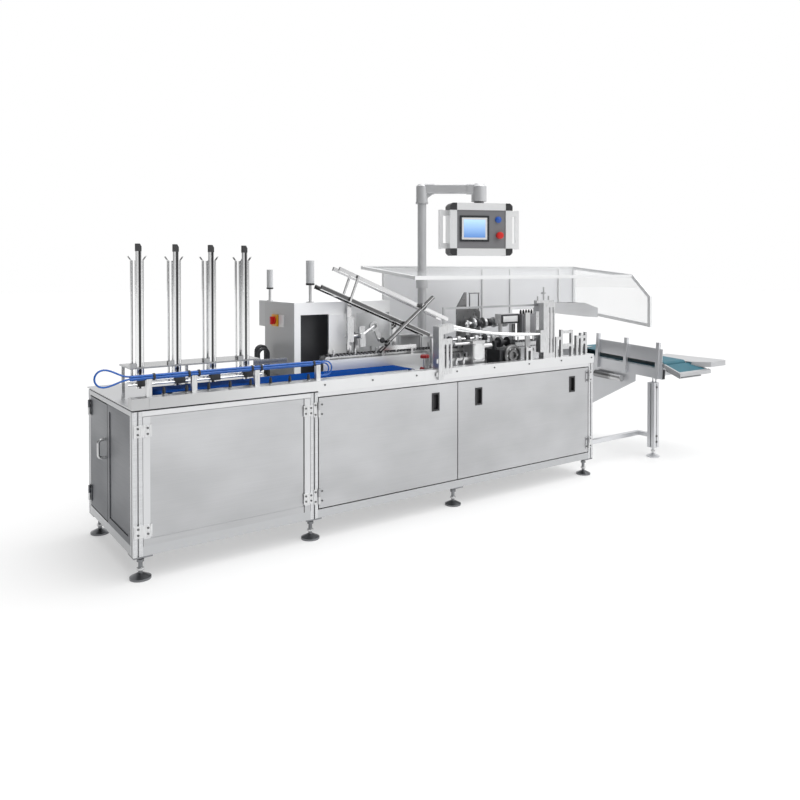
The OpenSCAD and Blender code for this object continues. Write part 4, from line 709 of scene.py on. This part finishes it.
fixedScrews = [facing(lookFront, x, plateRow["y"], z) for x in plateRow["x"] for z in pairs(plateRow)]
fixedScrews += [facing(lookFront, x, hingeRow["face"], z) for x in hingeRow["x"] for z in pairs(hingeRow)]
fixedScrews += [facing(lookLeft, hingeRow["face"], hingeRow["end"], z) for z in pairs(hingeRow)]
fixedScrews += [facing(lookFront, beamRow["first"] + beamRow["pitch"] * k, beamRow["y"], beamRow["height"])
                for k in range(beamRow["count"])]
legScrews = [facing(lookFront, legRow["x"], legRow["y"], z) for z in legRow["heights"]]
done(spread(screwHead(), fixedScrews), "plateScrews", "fitting_steel", finish=screwSteel)
done(spread(screwHead(legRow["size"]), legScrews), "legScrews", "fitting_steel", finish=screwSteel)
for door in ("middle_door", "right_door"):
    done(leafScrews(lookFront, leafRow[door], hingeRow["face"]), door + "Screws", "fitting_steel", door,
         screwSteel)
done(leafScrews(lookLeft, hingeRow["face"], leafRow["end"]), "endDoorScrews", "fitting_steel",
     "left_end_door", screwSteel)
print("screws set")

# star knobs on the clamp block
knob = {"radius": 0.022, "height": 0.020, "lobe": 0.010, "lobes": 5, "cap": 0.004,
        "standing": (1.774, 0.095, 0.929), "lying": (1.754, 0.095, 0.838)}


def starKnob():
    grip = begin("cylinder", vertices=2 * knob["lobes"], radius=knob["radius"], depth=knob["height"])
    step = math.pi / knob["lobes"]

    def isLobe(face):
        side = round(math.atan2(face.normal.y, face.normal.x) / step - 0.5)
        return abs(face.normal.z) < 0.1 and side % 2 == 0

    pick(grip, isLobe)
    bpy.ops.mesh.extrude_faces_move(TRANSFORM_OT_shrink_fatten={"value": knob["lobe"]})
    topInset(grip, knob["cap"])
    extrude(z=knob["cap"])
    change(grip, "SUBSURF", levels=2, render_levels=2)
    return grip


knobSpots = [facing(upright, *knob["standing"]), facing(lookLeft, *knob["lying"])]
done(spread(starKnob(), knobSpots), "starKnobs", "switch_red", finish=knobRed, sharp=60)

# operator panel: picture on the screen, two buttons
panel = {"pivot": (2.41947, 0.32631, 0), "turn": -24}
picture = {"middle": (-0.049, -0.0592, 1.737), "size": (0.178, 0.148), "frame": 0.013, "depth": 0.0024,
           "sink": -0.0008}
glass = {"middle": (-0.049, -0.0600, 1.737), "gap": 0.001, "depth": 0.0012, "edge": 0.0006, "rise": 0.0002}
panelFrame = Matrix.Translation(at(*panel["pivot"])) @ Matrix.Rotation(math.radians(panel["turn"]), 4, "Z")


def onPanel(place):
    return panelFrame @ Matrix.Translation(place) @ lookFront


sheet = plainPlate((*picture["size"], picture["depth"]), picture["frame"], picture["sink"])
done(spread(sheet, [onPanel(picture["middle"])]), "screenFrame", "panel_trim", "hmi_box")

glow = Finish("screenPicture", (0.10, 0.28, 0.60), 0.0, 0.18, Emission_Strength=0.55)
fadeUp = glow.node("ShaderNodeSeparateXYZ", {}, {0: glow.space(move=(0, 0, -1.66))}, 2)
screenStops = ((0.0, (0.05, 0.16, 0.45)), (1.0, (0.42, 0.62, 0.85)))
screenTone = glow.node("ShaderNodeValToRGB", {"stops": screenStops}, {0: fadeUp * 7.0})
glow.feed("Base Color", screenTone)
glow.feed("Emission Color", screenTone)
glassSize = [side - 2 * picture["frame"] - glass["gap"] for side in picture["size"]]
pane = plainPlate((*glassSize, glass["depth"]), glass["edge"], glass["rise"])
done(spread(pane, [onPanel(glass["middle"])]), "screenPicture", "screen_glass", "hmi_box", glow)

button = {"depth": 0.008, "shoulder": 0.28, "crown": 0.7, "rim": 0.2, "cap": 0.001, "edge": 0.0012}
stop = {"radius": 0.023, "flare": 1.4, "rise": 0.012}
start = {"radius": 0.022, "flare": 1.0, "rise": 0.003}
stopPlace = (0.127, -0.058, 1.692)
startPlace = (0.119, -0.058, 1.799)


def pushButton(radius, flare, rise):
    made = begin("cylinder", vertices=40, radius=radius, depth=button["depth"])
    topInset(made, radius * button["shoulder"])
    extrude(z=rise)
    bpy.ops.transform.resize(value=(flare, flare, 1))
    extrude(z=rise * button["crown"])
    bpy.ops.mesh.inset(thickness=radius * button["rim"])
    extrude(z=button["cap"])
    return soften(made, button["edge"], 3)


done(spread(pushButton(**stop), [onPanel(stopPlace)]), "stopButton", "switch_red", "hmi_box")
blueButton = Finish("startButton", (0.02, 0.10, 0.45), 0.0, 0.25, Coat_Weight=0.3)
blueButton.shades(blueButton.cloud(40.0, 2.0), 0.2)
done(spread(pushButton(**start), [onPanel(startPlace)]), "startButton", "black_plastic", "hmi_box",
     blueButton)
print("operator panel dressed")

# chain: side plates of the links along both upper runs
link = {"size": (0.019, 0.0016, 0.0095), "edge": 0.0006, "pitch": 0.0254, "start": 1.25, "count": 73,
        "rows": (0.3132, 0.3228, 0.3732, 0.3828), "height": 0.946}
plate = block(*link["size"])
bpy.ops.object.mode_set(mode="EDIT")
bpy.ops.mesh.select_all(action="SELECT")
bpy.ops.mesh.bevel(offset=link["edge"], segments=1, affect="EDGES")
change(plate, "ARRAY", count=link["count"], use_relative_offset=False, use_constant_offset=True,
       constant_offset_displace=(link["pitch"], 0, 0))
done(spread(plate, standing([(link["start"], y) for y in link["rows"]], link["height"])), "chainPlates",
     "chain_steel")

# lamp collars, column clamp, plate beside the switch
collar = {"step": 0.003, "lip": 0.002, "edge": 0.0012}
lampCollar = {"radius": 0.0262, "height": 0.012, "front": (1.190, 0.470, 1.372),
              "rear": (1.087, 0.810, 1.342), "rearSize": 0.82}
clamp = {"radius": 0.040, "height": 0.085, "place": (2.1, 0.55, 1.375)}
blank = {"size": (0.074, 0.070, 0.003), "edge": 0.004, "rise": 0.001, "place": (1.0645, 0.6025, 1.147)}


def ringCollar(radius, height):
    ring = begin("cylinder", vertices=48, radius=radius, depth=height)
    topInset(ring, collar["step"])
    extrude(z=collar["lip"])
    return soften(ring, collar["edge"])


lampRings = [facing(upright, *lampCollar["front"]),
             facing(Matrix.Scale(lampCollar["rearSize"], 4), *lampCollar["rear"])]
done(spread(ringCollar(lampCollar["radius"], lampCollar["height"]), lampRings), "lampCollars",
     "black_plastic")
done(spread(ringCollar(clamp["radius"], clamp["height"]), [facing(upright, *clamp["place"])]),
     "columnClamp", "arm_casting")
done(spread(plainPlate(blank["size"], blank["edge"], blank["rise"]), [facing(lookLeft, *blank["place"])]),
     "blankPlate", "panel_trim")

# small fittings: push-in air fittings on the beam, bands round the hoses, nuts on the feet
fitting = {"radius": 0.008, "height": 0.022, "neck": 0.002, "rise": 0.010, "wall": 0.0016, "bore": 0.004,
           "edge": 0.0008}
beamFittings = {"first": 0.160, "step": 0.112, "count": 8, "y": 0.041, "body": 0.876, "nut": 0.863,
                "nutSize": (0.011, 0.006)}
nut = {"chamfer": 0.3, "rise": 0.2, "edge": 0.08}
footNut = {"x": (0.046, 0.9565, 1.960, 3.164), "y": (0.046, 0.794), "legs": ((3.996, 0.063), (3.996, 0.861)),
           "height": 0.047, "size": (0.018, 0.012)}
band = {"x": (0.112, 0.283, 0.333, 0.616, 0.666, 0.975), "y": 0.041, "z": 0.952, "size": (0.0166, 0.010)}
lip = {"place": (1.616, 0.320, 1.020), "size": (0.0175, 0.006)}


def pushFitting():
    body = begin("cylinder", vertices=24, radius=fitting["radius"], depth=fitting["height"])
    topInset(body, fitting["neck"])
    extrude(z=fitting["rise"])
    bpy.ops.mesh.inset(thickness=fitting["wall"])
    extrude(z=-fitting["bore"])
    return soften(body, fitting["edge"])


def hexNut(radius, height):
    made = begin("cylinder", vertices=6, radius=radius, depth=height)
    topInset(made, radius * nut["chamfer"])
    extrude(z=height * nut["rise"])
    return soften(made, radius * nut["edge"])


fittingSpots = [(beamFittings["first"] + beamFittings["step"] * k, beamFittings["y"])
                for k in range(beamFittings["count"])]
done(spread(pushFitting(), standing(fittingSpots, beamFittings["body"])), "pushFittings", "black_plastic")
done(spread(hexNut(*beamFittings["nutSize"]), standing(fittingSpots, beamFittings["nut"])), "fittingNuts",
     "fitting_steel")
footSpots = [(x, y) for x in footNut["x"] for y in footNut["y"]] + list(footNut["legs"])
done(spread(hexNut(*footNut["size"]), standing(footSpots, footNut["height"])), "footNuts", "fitting_steel")
hoseBands = [facing(lookLeft, x, band["y"], band["z"]) for x in band["x"]]
done(spread(ringCollar(*band["size"]), hoseBands), "hoseBands", "black_rubber")
done(spread(ringCollar(*lip["size"]), [facing(lookFront, *lip["place"])]), "suctionLip", "black_rubber")

# closing section: levers with rollers, covers with screws, a bolted disc, a valve block
lever = {"foot": (0.034, 0.030, 0.012), "shoulder": 0.009, "rise": 0.058, "lean": (0.016, 0.030),
         "head": 0.014, "edge": 0.0015, "x": (1.958, 2.018, 2.078, 2.660), "y": 0.086, "z": 0.818}
roller = {"size": (0.016, 0.010), "front": 0.009, "z": 0.920}
motorCover = {"size": (0.084, 0.104, 0.004), "edge": 0.008, "rise": -0.0015, "place": (2.220, 0.098, 0.930)}
coverScrew = {"size": 1.2, "x": (2.183, 2.257), "y": 0.095, "z": (0.883, 0.977)}
discScrew = {"radius": 0.046, "count": 6, "middle": (2.490, 0.069, 0.892)}
sectionBoxes = {"feedFrame": ((0.160, 0.062, 0.004), 0.006, 0.001, (2.6195, 0.228, 1.120), "dark_panel"),
                "feedWindow": ((0.136, 0.040, 0.004), 0.004, 0.001, (2.6195, 0.2245, 1.120), "panel_trim"),
                "valveBlock": ((0.130, 0.150, 0.050), 0.012, 0.004, (2.775, 0.229, 1.075), "panel_grey")}
valve = {"first": 2.722, "pitch": 0.0265, "count": 5, "y": 0.229, "z": 1.158}


def camLever():
    arm = block(*lever["foot"])
    topInset(arm, lever["shoulder"])
    extrude(z=lever["rise"])
    extrude(x=lever["lean"][0], z=lever["lean"][1])
    extrude(z=lever["head"])
    return soften(arm, lever["edge"])


done(spread(camLever(), standing([(x, lever["y"]) for x in lever["x"]], lever["z"])), "camLevers",
     "fitting_steel")
rollerSpots = [facing(lookFront, x + lever["lean"][0], lever["y"] - roller["front"], roller["z"])
               for x in lever["x"]]
done(spread(ringCollar(*roller["size"]), rollerSpots), "camRollers", "chain_steel")
cover = slab(motorCover["size"], motorCover["edge"], motorCover["rise"])
done(spread(cover, [facing(lookFront, *motorCover["place"])]), "motorCover", "panel_trim")
driveScrews = [facing(lookFront, x, coverScrew["y"], z) for x in coverScrew["x"] for z in coverScrew["z"]]
discX, discY, discZ = discScrew["middle"]
for k in range(discScrew["count"]):
    turn = 2 * math.pi * k / discScrew["count"]
    driveScrews.append(facing(lookFront, discX + discScrew["radius"] * math.cos(turn), discY,
                              discZ + discScrew["radius"] * math.sin(turn)))
done(spread(screwHead(coverScrew["size"]), driveScrews), "driveScrews", "fitting_steel")
for name, (size, edge, rise, place, slot) in sectionBoxes.items():
    done(spread(slab(size, edge, rise), [facing(lookFront, *place)]), name, slot)
valveSpots = [(valve["first"] + valve["pitch"] * k, valve["y"]) for k in range(valve["count"])]
done(spread(pushFitting(), standing(valveSpots, valve["z"])), "valveFittings", "black_plastic")

# magazine: dark shoes on the tall angles, with two bars through them
shoe = {"size": (0.052, 0.030, 0.034), "edge": 0.006, "rise": 0.004, "first": 0.087, "pitch": 0.184,
        "count": 4, "y": 0.142, "z": 0.912}
shoeBar = {"size": (0.005, 0.70), "middle": 0.365, "offsets": ((-0.006, -0.008), (0.005, 0.009))}
shoeSpots = [(shoe["first"] + shoe["pitch"] * k, shoe["y"]) for k in range(shoe["count"])]
done(spread(slab(shoe["size"], shoe["edge"], shoe["rise"]), standing(shoeSpots, shoe["z"])), "towerShoes",
     "dark_panel")
barSpots = [facing(lookLeft, shoeBar["middle"], shoe["y"] + dy, shoe["z"] + dz)
            for dy, dz in shoeBar["offsets"]]
done(spread(ringCollar(*shoeBar["size"]), barSpots), "shoeBars", "bright_rod")

# transfer section: two boxes behind the chain, tie bars with clamps in front of the guard plate
boxes = {"y": 0.475, "depth": 0.050, "foot": 0.812, "edge": 0.014, "sink": -0.006,
         "transferBox": (1.930, 0.180, 0.220, "arm_casting"),
         "transferCover": (2.076, 0.100, 0.205, "painted_housing")}
for name in ("transferBox", "transferCover"):
    x, width, height, slot = boxes[name]
    box = slab((width, height, boxes["depth"]), boxes["edge"], boxes["sink"])
    done(spread(box, [facing(lookFront, x, boxes["y"], boxes["foot"] + height / 2)]), name, slot)
tie = {"y": 0.260, "post": 1.962, "postSize": (0.022, 0.022, 0.200), "postMiddle": 0.912, "edge": 0.004,
       "bar": (0.008, 0.600), "middle": 2.255, "tieBar": (1.000, "bright_rod"),
       "tieBarLower": (0.952, "dark_panel")}
tieClamp = {"first": 2.032, "pitch": 0.076, "count": 7, "foot": (0.030, 0.028), "edge": 0.005, "rise": 0.006,
            "tieClamps": (0.078, 0.976, "fitting_steel"), "tieStops": (0.034, 1.000, "dark_panel")}
tiePost = slab(tie["postSize"], tie["edge"], tie["edge"])
done(spread(tiePost, standing([(tie["post"], tie["y"])], tie["postMiddle"])), "tiePost", "fitting_steel")
for name in ("tieBar", "tieBarLower"):
    z, slot = tie[name]
    done(spread(ringCollar(*tie["bar"]), [facing(lookLeft, tie["middle"], tie["y"], z)]), name, slot)
clampSpots = [(tieClamp["first"] + tieClamp["pitch"] * k, tie["y"]) for k in range(tieClamp["count"])]
for name, picked in (("tieClamps", clampSpots[::2]), ("tieStops", clampSpots[1::2])):
    height, z, slot = tieClamp[name]
    jaw = slab((*tieClamp["foot"], height), tieClamp["edge"], tieClamp["rise"])
    done(spread(jaw, standing(picked, z)), name, slot)

# roller shaft behind the chain, on two posts; rollers in the outfeed cover
shaft = {"y": 0.430, "z": 1.085, "size": (0.011, 0.45), "middle": 2.615, "ends": (2.405, 2.825),
         "postSize": (0.022, 0.022, 0.290), "postMiddle": 0.957, "edge": 0.004, "pitch": 0.1,
         "shaftWheels": (0.038, 0.018, 2.455, 4, "fitting_steel"),
         "shaftSleeves": (0.028, 0.034, 2.505, 3, "dark_panel")}
coverRoller = {"size": (0.0094, 0.096), "first": 3.160, "pitch": 0.04, "count": 7, "y": 0.360, "z": 1.2005}
shaftPost = slab(shaft["postSize"], shaft["edge"], shaft["edge"])
shaftSpots = standing([(x, shaft["y"]) for x in shaft["ends"]], shaft["postMiddle"])
done(spread(shaftPost, shaftSpots), "shaftPosts", "fitting_steel")
rollerShaft = spread(ringCollar(*shaft["size"]), [facing(lookLeft, shaft["middle"], shaft["y"], shaft["z"])])
done(rollerShaft, "rollerShaft", "bright_rod")
for name in ("shaftWheels", "shaftSleeves"):
    radius, width, first, count, slot = shaft[name]
    wheels = [facing(lookLeft, first + shaft["pitch"] * k, shaft["y"], shaft["z"]) for k in range(count)]
    done(spread(ringCollar(radius, width), wheels), name, slot)
coverSpots = [facing(lookFront, coverRoller["first"] + coverRoller["pitch"] * k, coverRoller["y"],
                     coverRoller["z"]) for k in range(coverRoller["count"])]
done(spread(ringCollar(*coverRoller["size"]), coverSpots), "coverRollers", "chain_steel")
print("details set")

# floor: pale, with a little light of its own
bpy.ops.object.select_all(action="DESELECT")
bpy.ops.mesh.primitive_plane_add(size=studio["floorSize"], location=(0, 0, 0))
floor = bpy.context.object
floor.name = "floor"
pale = Finish("paleFloor", (studio["floorTone"],) * 3, 0.0, 0.6, Emission_Color=(1, 1, 1, 1),
              Emission_Strength=studio["floorGlow"])
pale.shades(pale.cloud(0.4, 2.0), 0.01)
floor.data.materials.append(pale.mat)

bpy.context.view_layer.update()
